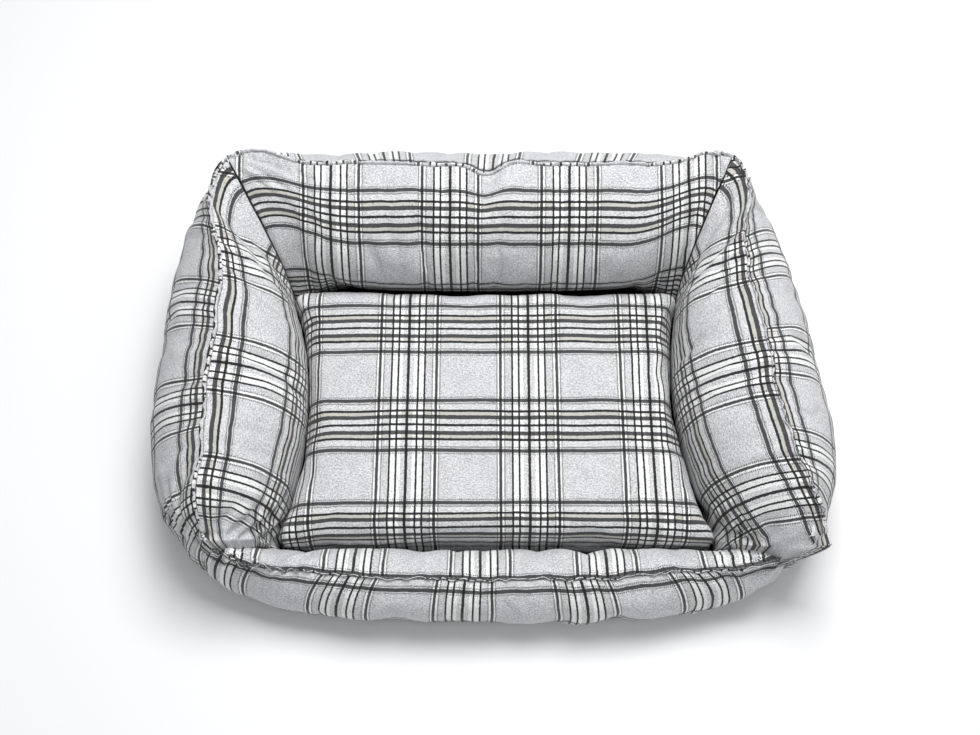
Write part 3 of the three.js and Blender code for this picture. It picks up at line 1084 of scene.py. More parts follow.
def instancing_tree(name: str, along_path: bool) -> bpy.types.NodeTree:
    """A tree that puts one small mesh at every step of a path, or on every point.

    Args:
        name: the tree's name.
        along_path: follow a path of edges at an even step; otherwise use the points as they are.

    Returns:
        The tree, with the inputs Item, Step, Turn and Material.
    """
    tree = node_group(name, [("Item", "NodeSocketObject", None), ("Step", "NodeSocketFloat", 0.004),
                             ("Turn", "NodeSocketVector", None), ("Material", "NodeSocketMaterial", None)])
    nodes, links = tree.nodes, tree.links
    source = next(n for n in nodes if n.bl_idname == "NodeGroupInput")
    sink = next(n for n in nodes if n.bl_idname == "NodeGroupOutput")
    item = nodes.new("GeometryNodeObjectInfo")
    links.new(source.outputs["Item"], item.inputs["Object"])
    place = nodes.new("GeometryNodeInstanceOnPoints")
    links.new(item.outputs["Geometry"], place.inputs["Instance"])
    if along_path:
        curve = nodes.new("GeometryNodeMeshToCurve")
        points = nodes.new("GeometryNodeCurveToPoints")
        points.mode = "LENGTH"
        turn = nodes.new("FunctionNodeRotateEuler")
        turn.space = "LOCAL"
        links.new(source.outputs["Geometry"], curve.inputs["Mesh"])
        links.new(curve.outputs["Curve"], points.inputs["Curve"])
        links.new(source.outputs["Step"], points.inputs["Length"])
        links.new(points.outputs["Points"], place.inputs["Points"])
        links.new(points.outputs["Rotation"], turn.inputs["Rotation"])
        links.new(source.outputs["Turn"], turn.inputs["Rotate By"])
        links.new(turn.outputs["Rotation"], place.inputs["Rotation"])
    else:
        links.new(source.outputs["Geometry"], place.inputs["Points"])
    real = nodes.new("GeometryNodeRealizeInstances")
    paint = nodes.new("GeometryNodeSetMaterial")
    links.new(place.outputs["Instances"], real.inputs["Geometry"])
    links.new(real.outputs["Geometry"], paint.inputs["Geometry"])
    links.new(source.outputs["Material"], paint.inputs["Material"])
    links.new(paint.outputs["Geometry"], sink.inputs["Geometry"])
    return tree


@dataclass
class Repeater:
    """Repeats small items along paths or on points, through geometry nodes."""

    path_tree: bpy.types.NodeTree = field(default_factory=lambda: instancing_tree("along_path", True))
    point_tree: bpy.types.NodeTree = field(default_factory=lambda: instancing_tree("on_points", False))

    @staticmethod
    def capsule(name: str, length: float, radius: float, sides: int = 6) -> bpy.types.Object:
        """A short round-ended rod along Z, as a pattern for stitches."""
        profile = [(0.7, -0.42), (1.0, -0.25), (1.0, 0.25), (0.7, 0.42)]
        angles = np.arange(sides) * 2 * math.pi / sides
        rings = np.array([[(r * radius * math.cos(a), r * radius * math.sin(a), z * length) for a in angles]
                          for r, z in profile])
        return loft_object(name, rings)

    def along(self, name: str, paths: Sequence[Array], item: bpy.types.Object, step: float,
              material: bpy.types.Material, turn: tuple[float, float, float] = (0, 0, 0)) -> bpy.types.Object:
        """Puts an item at every step of some paths.

        Args:
            name: the new piece's name.
            paths: lists of points, shape (count, 3) each.
            item: the pattern object, with its length along Z.
            step: the spacing.
            material: the piece's material.
            turn: a turn of each item in its own axes.

        Returns:
            The new piece, as a plain mesh.
        """
        points, edges = [], []
        for path in paths:
            first = len(points)
            points += path.tolist()
            edges += [(first + i, first + i + 1) for i in range(len(path) - 1)]
        mesh = bpy.data.meshes.new(name + "_path")
        mesh.from_pydata(points, edges, [])
        values = {"Item": item, "Step": step, "Turn": turn, "Material": material}
        return plain_result(add_object(name + "_path", mesh), self.path_tree, name, values)

    def on_points(self, name: str, points: Array, item: bpy.types.Object,
                  material: bpy.types.Material) -> bpy.types.Object:
        """Puts an item on every point."""
        mesh = bpy.data.meshes.new(name + "_points")
        mesh.from_pydata(points.tolist(), [], [])
        values = {"Item": item, "Material": material}
        return plain_result(add_object(name + "_points", mesh), self.point_tree, name, values)


def discard(*objects: bpy.types.Object) -> None:
    """Removes pattern objects once they have been repeated."""
    for made in objects:
        mesh = made.data
        bpy.data.objects.remove(made)
        bpy.data.meshes.remove(mesh)


# ---- Walls ---------------------------------------------------------------------------------------------


@dataclass(frozen=True)
class ClothCut:
    """Where a panel was cut from the check cloth.

    Attributes:
        along: a group's middle, along the wall or across the cushion.
        down: a group's middle, down from the ridge or along the cushion.
    """

    along: float
    down: float


@dataclass(frozen=True)
class Gather:
    """Small folds that run out from one point, as where a corner is pulled together.

    Attributes:
        middle: the point that the folds run from.
        reach: how far they fade out.
        folds: how many there are to a full turn.
        depth: their height.
        seed: the seed of their unevenness.
    """

    middle: tuple[float, float, float]
    reach: float
    folds: int
    depth: float
    seed: int

    def height(self, points: Array) -> Array:
        """The folds' height at some points, shape as points without the last axis."""
        away = points - np.array(self.middle)
        far = np.linalg.norm(away, axis=-1)
        angle = np.arctan2(away[..., 2] * 1.3 + 0.4 * away[..., 0], away[..., 1] + 0.3 * away[..., 0])
        phase = ripple(self.seed, angle, 2.1) * 1.4
        fade = (far / (0.35 * self.reach)) * np.exp(-(far / self.reach) ** 2)
        return self.depth * np.minimum(fade, 1.2) * np.cos(self.folds * angle + phase)


@dataclass
class StuffedWall:
    """One stuffed wall: an outer and an inner panel, the ridge lip between them, and the fibre inside.

    Attributes:
        side: which wall.
        plan: the bed's plan.
        outer_cut: where the outer panel was cut.
        inner_cut: where the inner panel was cut.
        gathers: folds at its ends.
        ridge_dips: sags of the ridge, each as its place along the wall, its width and its depth.
        tight_ends: how much stronger the puckers are towards the first and the second end.
        overhang: how far the belly may hang over the cushion, above its top.
        end_swell: how far a side wall's front end rounds out.
        end_rise: the heights between which it starts to.
        end_rows: how many rows of cloth close that end.
        spacing: the grid's step.
        cloth: the cloth's thickness.
        fill: meant as how tightly it is stuffed; not used.
        start_inset: how far under its full shape the cloth starts.
        pucker: the height of the puckers along the ridge.
        pucker_wave: their spacing.
        pucker_reach: how far down they fade.
        tight_reach: how far from an end the puckers are stronger.
        broad: the height of the broad lumps below them.
        wander: how far the ridge strays sideways and upwards.
        wander_reach: how far down the cloth follows it.
        most_moved: the furthest that the cloth may settle.
        lip_size: the seam lip's half thickness and its height.
        mitre_gap: the gap to the next wall.
    """

    side: Side
    plan: BedPlan
    outer_cut: ClothCut
    inner_cut: ClothCut
    gathers: tuple[Gather, ...] = ()
    ridge_dips: tuple[tuple[float, float, float], ...] = ()
    tight_ends: tuple[float, float] = (1.0, 1.0)
    overhang: float = 5.0 * MM
    end_swell: float = 9 * MM
    end_rise: tuple[float, float] = (0.085, 0.125)
    end_rows: int = 12
    spacing: float = 0.0045
    cloth: float = 1.3 * MM
    fill: float = 0.8
    start_inset: float = 2.5 * MM
    pucker: float = 1.1 * MM
    pucker_wave: float = 17 * MM
    pucker_reach: float = 12 * MM
    tight_reach: float = 0.07
    broad: float = 1.6 * MM
    wander: tuple[float, float] = (2.6 * MM, 1.8 * MM)
    wander_reach: float = 30 * MM
    most_moved: float = 7 * MM
    lip_size: tuple[float, float] = (0.95 * MM, 3.3 * MM)
    mitre_gap: float = 0.5 * MM

    def __post_init__(self) -> None:
        """Lays the wall's two panels out as one grid, outer base to ridge to inner base."""
        self.seed = 11 + 7 * list(Side).index(self.side)
        length = self.plan.depth_back if self.side.runs_along_y else self.plan.half_width
        steps = 2 * round(length / self.spacing)
        u = np.linspace(-1, 1, steps + 1)
        self.s = (1 - self.mitre_gap / length) * (0.75 * u + 0.25 * np.sin(u * math.pi / 2))
        outer_v, inner_v = self._even_rows(True), self._even_rows(False)
        self.ridge_row = len(outer_v) - 1
        outer = self.plan.skin(self.side, True, self.s, outer_v, self.start_inset)
        inner = self.plan.skin(self.side, False, self.s, inner_v, self.start_inset)
        ridge = (outer[:, -1:] + inner[:, :1]) / 2
        self.grid = np.concatenate([outer[:, :-1], ridge, inner[:, 1:]], axis=1)
        self.turned = bool(surface_normals(self.grid)[len(self.s) // 2, self.ridge_row, 2] < 0)
        self.flat_outer, self.flat_inner = self._flat_cloth()
        self._shape()

    def _even_rows(self, outer: bool) -> Array:
        """Places along the section's curve that are evenly spaced at mid length."""
        fine = np.linspace(0, 1, 400)
        curve = self.plan.skin(self.side, outer, np.array([0.0]), fine, 0.0)[0]
        run = lengths_along(curve[None], 1)[0]
        rows = max(8, round(run[-1] / self.spacing))
        return np.interp(np.linspace(0, run[-1], rows + 1), run, fine)

    def _flat_cloth(self) -> tuple[Array, Array]:
        """Each point's place on the flat cloth, along the wall and down from the ridge.

        The panel was a rectangle, so its lines keep their share of the section where the wall narrows.

        Returns:
            The places on the outer panel and on the inner one.
        """
        grid, row = self.grid, self.ridge_row
        axis = 1 if self.side.runs_along_y else 0
        middle = len(self.s) // 2
        offset = self.plan.shift()[axis]
        outline = lengths_along(grid[:, row // 2][:, None], 0)[:, 0]
        around = outline - outline[middle] + grid[middle, row // 2, axis] - offset
        outer_u = np.repeat(around[:, None], row + 1, axis=1)
        inner_u = grid[:, row:, axis] - offset
        if self.side.runs_along_y:
            run = lengths_along(grid[:, row:], 0)
            to_front = inner_u[middle] - (run[middle] - run)
            inner_u = np.where(np.arange(len(grid))[:, None] < middle, to_front, inner_u)
        down_outer = lengths_along(grid[:, :row + 1][:, ::-1], 1)[:, ::-1]
        less_along = grid[:, row:].copy()
        less_along[..., axis] *= 0.35
        down_inner = lengths_along(less_along, 1)
        down_outer = down_outer / down_outer[:, :1] * down_outer[middle, 0]
        down_inner = down_inner / down_inner[:, -1:] * down_inner[middle, -1]
        return (np.stack([outer_u - self.outer_cut.along, down_outer - self.outer_cut.down], -1),
                np.stack([inner_u - self.inner_cut.along, down_inner - self.inner_cut.down], -1))

    def _normals(self) -> Array:
        """Outward normals of the grid."""
        return surface_normals(self.grid) * (-1.0 if self.turned else 1.0)

    def _shape(self) -> None:
        """Shapes the grid before it is blown up: ridge wander, puckers and gathers."""
        grid = self.grid
        along = lengths_along(grid[:, self.ridge_row][:, None], 0)[:, 0]
        total = along[-1]
        to_end = np.minimum(along, total - along)[:, None]
        run = lengths_along(grid, 1)
        down = np.abs(run - run[:, self.ridge_row:self.ridge_row + 1])
        normals = self._normals()

        tight = (1 + (self.tight_ends[0] - 1) * np.exp(-(along / self.tight_reach) ** 2)
                 + (self.tight_ends[1] - 1) * np.exp(-((total - along) / self.tight_reach) ** 2))[:, None]
        waves = np.cos(2 * math.pi * along / self.pucker_wave + 2.2 * ripple(self.seed + 1, along, 0.11))
        stray = 3 * ripple(self.seed + 8, along, 0.07)
        short = np.cos(2 * math.pi * along / (0.6 * self.pucker_wave) + stray)
        waves = waves * 0.7 + short * 0.3 * np.minimum(tight[:, 0], 2.5)
        near = np.exp(-down / (self.pucker_reach * tight ** 0.5)) * (1 - np.exp(-down / (2 * MM)))
        lift = self.pucker * tight * waves[:, None] * near
        broad = ripple(self.seed + 2, along, 0.16)[:, None] * np.sin(math.pi * np.clip(down / 0.19, 0, 1))
        lift += self.broad * broad * np.clip(to_end / 0.04, 0, 1)
        for gather in self.gathers:
            lift += gather.height(grid)
        grid += normals * lift[..., None]

        hold = np.exp(-(down / self.wander_reach) ** 2)
        axis = 0 if self.side.runs_along_y else 1
        calm = np.clip(to_end[:, 0] / 0.05, 0, 1)
        sideways = self.wander[0] * ripple(self.seed + 3, along, 0.19) * calm
        upward = self.wander[1] * ripple(self.seed + 4, along, 0.15) * calm
        for place, width, depth in self.ridge_dips:
            bell = np.exp(-((grid[:, self.ridge_row, 1 - axis] - place) / width) ** 2)
            upward = upward - depth * bell
            sideways = sideways - 1.4 * depth * bell
        grid[..., axis] += sideways[:, None] * hold
        grid[..., 2] += upward[:, None] * hold
        grid[..., 2] = np.maximum(grid[..., 2], self.plan.foot + 0.2 * MM)

    def simulate(self, run: ClothRun) -> None:
        """Adds the wall to the cloth run, held along its ridge, its base and its ends."""
        sheet = grid_object(f"{self.side.value}_sheet", self.grid, turned=self.turned)
        rows, columns = self.grid.shape[:2]
        hold = np.zeros((rows, columns))
        hold[:, [0, self.ridge_row, columns - 1]] = 1.0
        hold[[0, -1], :] = 1.0
        run.add(self.side.value, sheet, hold.ravel(), cap=self.most_moved)

    def settle(self, points: Array, cushion: "LooseCushion") -> None:
        """Takes the simulated points back, clear of the cushion's way up and of the floor."""
        grid = points.reshape(self.grid.shape)
        axis = 0 if self.side.runs_along_y else 1
        low, high = (cushion.sides if self.side.runs_along_y else cushion.ends)(grid[..., 1 - axis])
        rise = np.clip((grid[..., 2] - cushion.high.z + 2 * MM) / (14 * MM), 0, 1)
        clear = 2.2 * MM - self.overhang * rise ** 2 * (3 - 2 * rise)
        if self.side in (Side.LEFT, Side.FRONT):
            grid[..., axis] = np.minimum(grid[..., axis], low - clear)
        else:
            grid[..., axis] = np.maximum(grid[..., axis], high + clear)
        grid[..., 2] = np.maximum(grid[..., 2], self.plan.foot)
        self.grid = grid

    def _with_front_end(self, points: Array, flat: Array) -> tuple[Array, Array]:
        """Carries a side wall's panel on round its front end, which stands above the low front wall.

        Args:
            points: the panel's grid.
            flat: its places on the flat cloth.

        Returns:
            Both, with the end's rows in front of them.
        """
        first, start = points[0], flat[0]
        foot = (self.grid[0, 0] + self.grid[0, -1]) / 2
        across = self.grid[0, -1] - self.grid[0, 0]
        ahead = np.cross(across, np.array([0.0, 0.0, 1.0]))
        ahead *= -np.sign(ahead[1]) / np.linalg.norm(ahead)
        turn = np.linspace(1.0, 0.04, self.end_rows)[:, None] * math.pi / 2
        free = np.clip((first[:, 2] - self.end_rise[0]) / (self.end_rise[1] - self.end_rise[0]), 0, 1)
        rows = (foot + (first - foot) * np.cos(turn)[..., None]
                + ahead * (self.end_swell * np.sin(turn) * free)[..., None])
        gone = np.linalg.norm(rows - first, axis=-1)
        ends = np.stack([start[:, 0] - gone, np.repeat(start[None, :, 1], len(rows), axis=0)], -1)
        return np.concatenate([rows, points]), np.concatenate([ends, flat])

    def panels(self, finishes: Finishes) -> None:
        """Makes the two panels from the settled grid."""
        halves = (("outer", self.grid[:, :self.ridge_row + 1], self.flat_outer),
                  ("inner", self.grid[:, self.ridge_row:], self.flat_inner))
        for label, points, flat in halves:
            if self.side.runs_along_y:
                points, flat = self._with_front_end(points, flat)
            piece = grid_object(f"{self.side.value}_{label}_cloth", points, flat, self.turned)
            thicken(piece, self.cloth)
            panel = f"{self.side.value}_{label}_panel"
            dress(piece, finishes.plaid, "bed", [panel])

    def lip(self, finishes: Finishes, repeater: Repeater, stitch: bpy.types.Object) -> None:
        """Makes the seam allowance that stands along the ridge, wavy and pulled in at its stitches."""
        path = self.grid[:, self.ridge_row]
        fine = np.linspace(0, len(path) - 1, 3 * (len(path) - 1) + 1)
        path = np.stack([np.interp(fine, np.arange(len(path)), path[:, k]) for k in range(3)], -1)
        along = lengths_along(path[:, None], 0)[:, 0]
        ahead = np.gradient(path, axis=0)
        ahead /= np.linalg.norm(ahead, axis=1, keepdims=True)
        normal = self._normals()[:, self.ridge_row]
        up = np.stack([np.interp(fine, np.arange(len(normal)), normal[:, k]) for k in range(3)], -1)
        up -= ahead * np.sum(up * ahead, axis=1, keepdims=True)
        up /= np.linalg.norm(up, axis=1, keepdims=True)
        side = np.cross(ahead, up)
        wave = np.sin(2 * math.pi * along / self.pucker_wave + 2.2 * ripple(self.seed + 1, along, 0.11))
        lean = 0.9 * MM * wave + 1.5 * MM * ripple(self.seed + 5, along, 0.07)
        fat = self.lip_size[0] + 0.2 * MM * ripple(self.seed + 7, along, 0.02)
        tall = self.lip_size[1] + 0.8 * MM * ripple(self.seed + 6, along, 0.05)
        outline = [(-1.25, -0.4), (-1.0, 0.2), (-1.1, 0.6), (-0.95, 0.92), (-0.5, 1.0), (-0.12, 0.84),
                   (0.12, 0.84), (0.5, 0.97), (0.95, 0.9), (1.1, 0.6), (1.0, 0.2), (1.25, -0.4)]
        rings = np.stack([path + side * (w * fat + lean * max(h, 0) ** 1.3)[:, None]
                          + up * (h * tall)[:, None] for w, h in outline], axis=1)
        start = self.flat_inner[0, 0, 0]
        drop = [self.lip_size[1] * (abs(h) + (0.6 if w > 0 else 0)) for w, h in outline]
        flat = np.stack([np.stack([along + start, np.full_like(along, d - self.inner_cut.down)], -1)
                         for d in drop], axis=1)
        piece = loft_object(f"{self.side.value}_ridge_seam", rings, flat)
        dress(piece, finishes.plaid, "bed", [f"{self.side.value}_ridge_lip"])
        foot = up * (0.9 * MM)
        rows = [path + side * (sign * (fat + 0.15 * MM) + 0.15 * lean)[:, None] + foot for sign in (-1, 1)]
        stitches = repeater.along(f"{self.side.value}_ridge_stitches", [row[6:-6] for row in rows], stitch,
                                  RIDGE_STITCH_STEP, finishes.thread)
        dress(stitches, finishes.thread, "bed")

    def fibre(self, finishes: Finishes) -> None:
        """Makes the fibre inside the wall, a little under the settled cloth and lumpy."""
        last = self.grid.shape[1] - 2
        columns = np.r_[2:self.ridge_row - 1:3, self.ridge_row + 2:last:3]
        inset = 7 * MM + 1.5 * MM * ripple(self.seed + 9, self.grid @ np.array([1.0, 0.7, 1.3]), 0.05)
        rings = (self.grid - self._normals() * inset[..., None])[2:-2:4, columns]
        middle = rings.mean(1, keepdims=True)
        rings = rings + (middle - rings) * 0.04
        rings[..., 2] = np.maximum(rings[..., 2], self.plan.foot + 1.6 * MM)
        piece = loft_object(f"{self.side.value}_fibre", rings)
        dress(piece, finishes.fibre, "bed", [f"{self.side.value}_fibre_fill"])


# ---- The loose cushion ---------------------------------------------------------------------------------


@dataclass
class LooseCushion:
    """The crowned cushion in the well: top and bottom panels sewn round the edge, fibre, and a zip behind.

    Attributes:
        plan: the bed's plan.
        cut: where the top panel was cut from the cloth.
        margin: its clearance beside the side walls' bellies.
        bulge: how far it rounds out over its edge.
        edge_turn: how far the cloth turns over, from level down to the seam.
        squareness: the power that makes the edge fuller than an arc; 1 is an arc.
        corner_power: the superellipse power of its corners in plan.
        crown: how much the middle stands above the edge.
        over_zip: how far the back edge stands out over the CAD box, above the zip.
        loft: how far the level part stands above the CAD box.
        room: the gap left in front and below.
        slack: how far past its own sides the settled cloth may go.
        spacing: the grid's step.
        cloth: the cloth's thickness.
        fill: meant as how tightly it is stuffed; not used.
        core_inset: how far the fibre stays inside the bellies' limits, the top and the foot.
    """

    plan: BedPlan
    cut: ClothCut
    spacing: float = 0.0052
    cloth: float = 1.3 * MM
    margin: float = 1.5 * MM
    bulge: float = 0.026
    edge_turn: float = math.radians(135.0)
    squareness: float = 0.60
    corner_power: float = 4.0
    crown: float = 0.003
    over_zip: float = 12.5 * MM
    loft: float = 1 * MM
    room: tuple[float, float] = (0.5 * MM, 0.6 * MM)
    slack: float = 0.3 * MM
    fill: float = 0.75
    core_inset: tuple[float, float, float] = (14 * MM, 15 * MM, 5 * MM)

    def __post_init__(self) -> None:
        """Lays out the top and the underside: sheets that turn over round the edge down to the seam."""
        low, self.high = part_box("cushion_top_panel")
        self.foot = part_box("cushion_bottom_panel")[0].z
        self.seam = low.z
        front, back = low.y - self.room[0], self.high.y + self.over_zip
        self.middle_y, self.half_depth = (front + back) / 2, (back - front) / 2
        arc = self.bulge * self.edge_turn - self.bulge
        columns = 2 * round(((self.high.x - low.x) / 2 + arc) / self.spacing)
        rows = 2 * round((self.half_depth + arc) / self.spacing)
        a, b = np.meshgrid(np.linspace(-1, 1, columns + 1), np.linspace(-1, 1, rows + 1), indexing="ij")
        self.top = self._sheet(a, b, self.high.z + self.loft - self.seam, 1.0)
        self.under = self._sheet(a, b, self.seam - self.foot - self.room[1], -1.0)
        self.flat_top = self._flat(self.top)
        self.flat_under = self._flat(self.under)

    def _corner_inset(self, past: Array) -> Array:
        """How far the outline draws in at a corner, from how far past the corner's start a place is."""
        past = np.clip(past / self.bulge, 0, 1)
        return self.bulge * (1 - (1 - past ** self.corner_power) ** (1 / self.corner_power))

    def sides(self, y: Array) -> tuple[Array, Array]:
        """The cushion's widest left and right at places along its depth; far apart beyond its ends."""
        left, right = self.plan.beside_bellies(y, self.margin)
        away = np.abs(y - self.middle_y)
        inset = self._corner_inset(away - (self.half_depth - self.bulge))
        inset = np.where(away > self.half_depth + 2 * MM, 1.0, inset)
        return left + inset, right - inset

    def ends(self, x: Array) -> tuple[Array, Array]:
        """The cushion's front and back at places across it; far apart beyond its sides."""
        limits = []
        for sign in (-1, 1):
            edge = self.middle_y + sign * self.half_depth
            left, right = self.plan.beside_bellies(np.array(edge), self.margin)
            past = np.maximum(left - x, x - right)
            inset = np.where(past > 2 * MM, 1.0, self._corner_inset(past + self.bulge))
            limits.append(edge - sign * inset)
        return limits[0], limits[1]

    def _sheet(self, a: Array, b: Array, rise: float, up: float) -> Array:
        """One panel: level with a crown, then round the edge to the seam.

        Args:
            a: places across the cloth, -1 to 1.
            b: places along the cloth, -1 to 1.
            rise: the level part's distance from the seam.
            up: 1 for the top and -1 for the underside.

        Returns:
            Points, shape (*a.shape, 3).
        """
        def turned(place: Array, half: Array) -> tuple[Array, Array]:
            """Splits a place on the cloth into its level part and its turn round the edge."""
            reach = np.abs(place) * (half - self.bulge + self.bulge * self.edge_turn)
            level = np.minimum(reach, half - self.bulge)
            return np.sign(place) * level, (reach - level) / self.bulge

        core_y, turn_y = turned(b, np.array(self.half_depth))
        edge_y = self.middle_y + core_y + np.sign(b) * self.bulge * np.sin(np.minimum(turn_y, math.pi / 2))
        left, right = self.plan.beside_bellies(edge_y, self.margin)
        core_x, turn_x = turned(a, (right - left) / 2)
        turn = np.maximum(turn_x, turn_y)
        bulk = (turn_x ** self.corner_power + turn_y ** self.corner_power) ** (1 / self.corner_power)
        share = self.bulge * signed_power(np.sin(turn), self.squareness) / np.maximum(bulk, 1e-9)
        x = (left + right) / 2 + core_x + np.sign(a) * share * turn_x
        y = self.middle_y + core_y + np.sign(b) * share * turn_y
        radius = rise / (1 - signed_power(np.array(math.cos(self.edge_turn)), self.squareness))
        height = self.seam + up * (rise - radius * (1 - signed_power(np.cos(turn), self.squareness)))
        self.level = np.clip(1 - turn / self.edge_turn, 0, 1)
        if up > 0:
            height = height + self.crown * ((1 - a ** 2) * (1 - b ** 2)) ** 0.75
            height = height + self._unevenness(x, y) * self.level
        return np.stack([x, y, height], -1)

    @staticmethod
    def _unevenness(x: Array, y: Array) -> Array:
        """Slight hollows and lumps of the stuffing."""
        return ripple(41, x + 0.4 * y, 0.24) * 1.8 * MM + ripple(42, y - 0.3 * x, 0.20) * 1.6 * MM

    def _flat(self, sheet: Array) -> Array:
        """Each point's place on the flat cloth, measured out from the middle lines."""
        row, column = sheet.shape[0] // 2, sheet.shape[1] // 2
        dx, dy = self.plan.shift()
        u = lengths_along(sheet, 0)
        v = lengths_along(sheet, 1)
        u = u - u[row] + sheet[row, :, 0] - dx - self.cut.along
        v = v - v[:, column:column + 1] + sheet[:, column:column + 1, 1] - dy - self.cut.down
        return np.stack([u, v], -1)

    def simulate(self, run: ClothRun) -> None:
        """Adds both panels to the cloth run, held round the seam; the underside is held on the lining."""
        edge = np.zeros(self.level.shape)
        edge[[0, -1], :] = 1.0
        edge[:, [0, -1]] = 1.0
        top = grid_object("cushion_top_sheet", self.top)
        run.add("cushion_top", top, edge.ravel(), cap=5 * MM, pressure=0.6)
        under = grid_object("cushion_under_sheet", self.under, turned=True)
        held = np.maximum(edge, (self.level > 0.8) * 1.0)
        run.add("cushion_under", under, held.ravel(), cap=3 * MM, pressure=0.5)

    def settle(self, results: dict[str, Array]) -> None:
        """Takes the simulated points back, inside the cushion's own box and off the lining."""
        self.top = results["cushion_top"].reshape(self.top.shape)
        self.under = results["cushion_under"].reshape(self.under.shape)
        for sheet in (self.top, self.under):
            left, right = self.plan.beside_bellies(sheet[..., 1], self.margin - self.slack)
            sheet[..., 0] = np.clip(sheet[..., 0], left, right)
            reach = self.half_depth + self.slack
            sheet[..., 1] = np.clip(sheet[..., 1], self.middle_y - reach, self.middle_y + reach)
            sheet[..., 2] = np.maximum(sheet[..., 2], self.foot + 0.4 * MM)

    def panels(self, finishes: Finishes) -> None:
        """Makes the two panels."""
        for name, sheet, flat, turned, node in (
                ("cushion_top_cloth", self.top, self.flat_top, False, "cushion_top_panel"),
                ("cushion_under_cloth", self.under, self.flat_under, True, "cushion_bottom_panel")):
            piece = grid_object(name, sheet, flat, turned)
            thicken(piece, self.cloth)
            dress(piece, finishes.plaid, "cushion", [node])

    def _edge_path(self) -> Array:
        """The closed line of the seam round the edge."""
        top = self.top
        return np.concatenate([top[:-1, 0], top[-1, :-1], top[:0:-1, -1], top[0, :0:-1], top[:1, 0]])

    def seam_roll(self, finishes: Finishes) -> None:
        """Makes the sewn edge: the two panels' turned edges, rolled together round the cushion."""
        path = self._edge_path()
        along = lengths_along(path[None], 1)[0]
        ahead = np.gradient(path, axis=0)
        ahead /= np.maximum(np.linalg.norm(ahead, axis=1, keepdims=True), 1e-9)
        out = np.cross(ahead, np.array([0.0, 0.0, 1.0]))
        swell = 0.9 * MM + 0.2 * MM * ripple(51, along, 0.02)
        angles = np.arange(8) * math.pi / 4
        up = np.array([0, 0, 1.0])
        rings = np.stack([path + out * (np.cos(t) * swell - 0.9 * MM)[:, None]
                          + up * (np.sin(t) * swell * 1.3)[:, None] for t in angles], axis=1)
        flat = np.stack([np.stack([along, np.full_like(along, 1.5 * MM * k)], -1) for k in range(8)], axis=1)
        piece = loft_object("cushion_edge_seam", rings, flat)
        dress(piece, finishes.plaid, "cushion")

    def fibre(self, finishes: Finishes) -> None:
        """Makes the fibre inside the cushion: level rings, widest at mid height and square-cornered."""
        angles = np.arange(72) * math.pi / 36
        across = signed_power(np.cos(angles), 0.25)
        along = signed_power(np.sin(angles), 0.25)
        beside, under_top, over_foot = self.core_inset
        top, foot = self.high.z - under_top, self.foot + over_foot
        rings = []
        for t in np.linspace(0.06, 0.94, 22):
            lift = math.cos(math.pi * t)
            reach = math.sin(math.pi * t) ** 0.35 * 0.93
            y = self.middle_y + self.half_depth * 0.94 * reach * along
            left, right = self.plan.beside_bellies(y, beside)
            x = (left + right) / 2 + (right - left) / 2 * reach * across
            z = (top + foot) / 2 + (top - foot) / 2 * lift
            lump = 2 * MM * ripple(61, x * 1.1 + y + z, 0.05)
            rings.append(np.stack([x + lump * 0.3, y, z + lump * 0.4], -1))
        piece = loft_object("cushion_fibre", np.array(rings))
        dress(piece, finishes.fibre, "cushion", ["cushion_fibre_fill"])


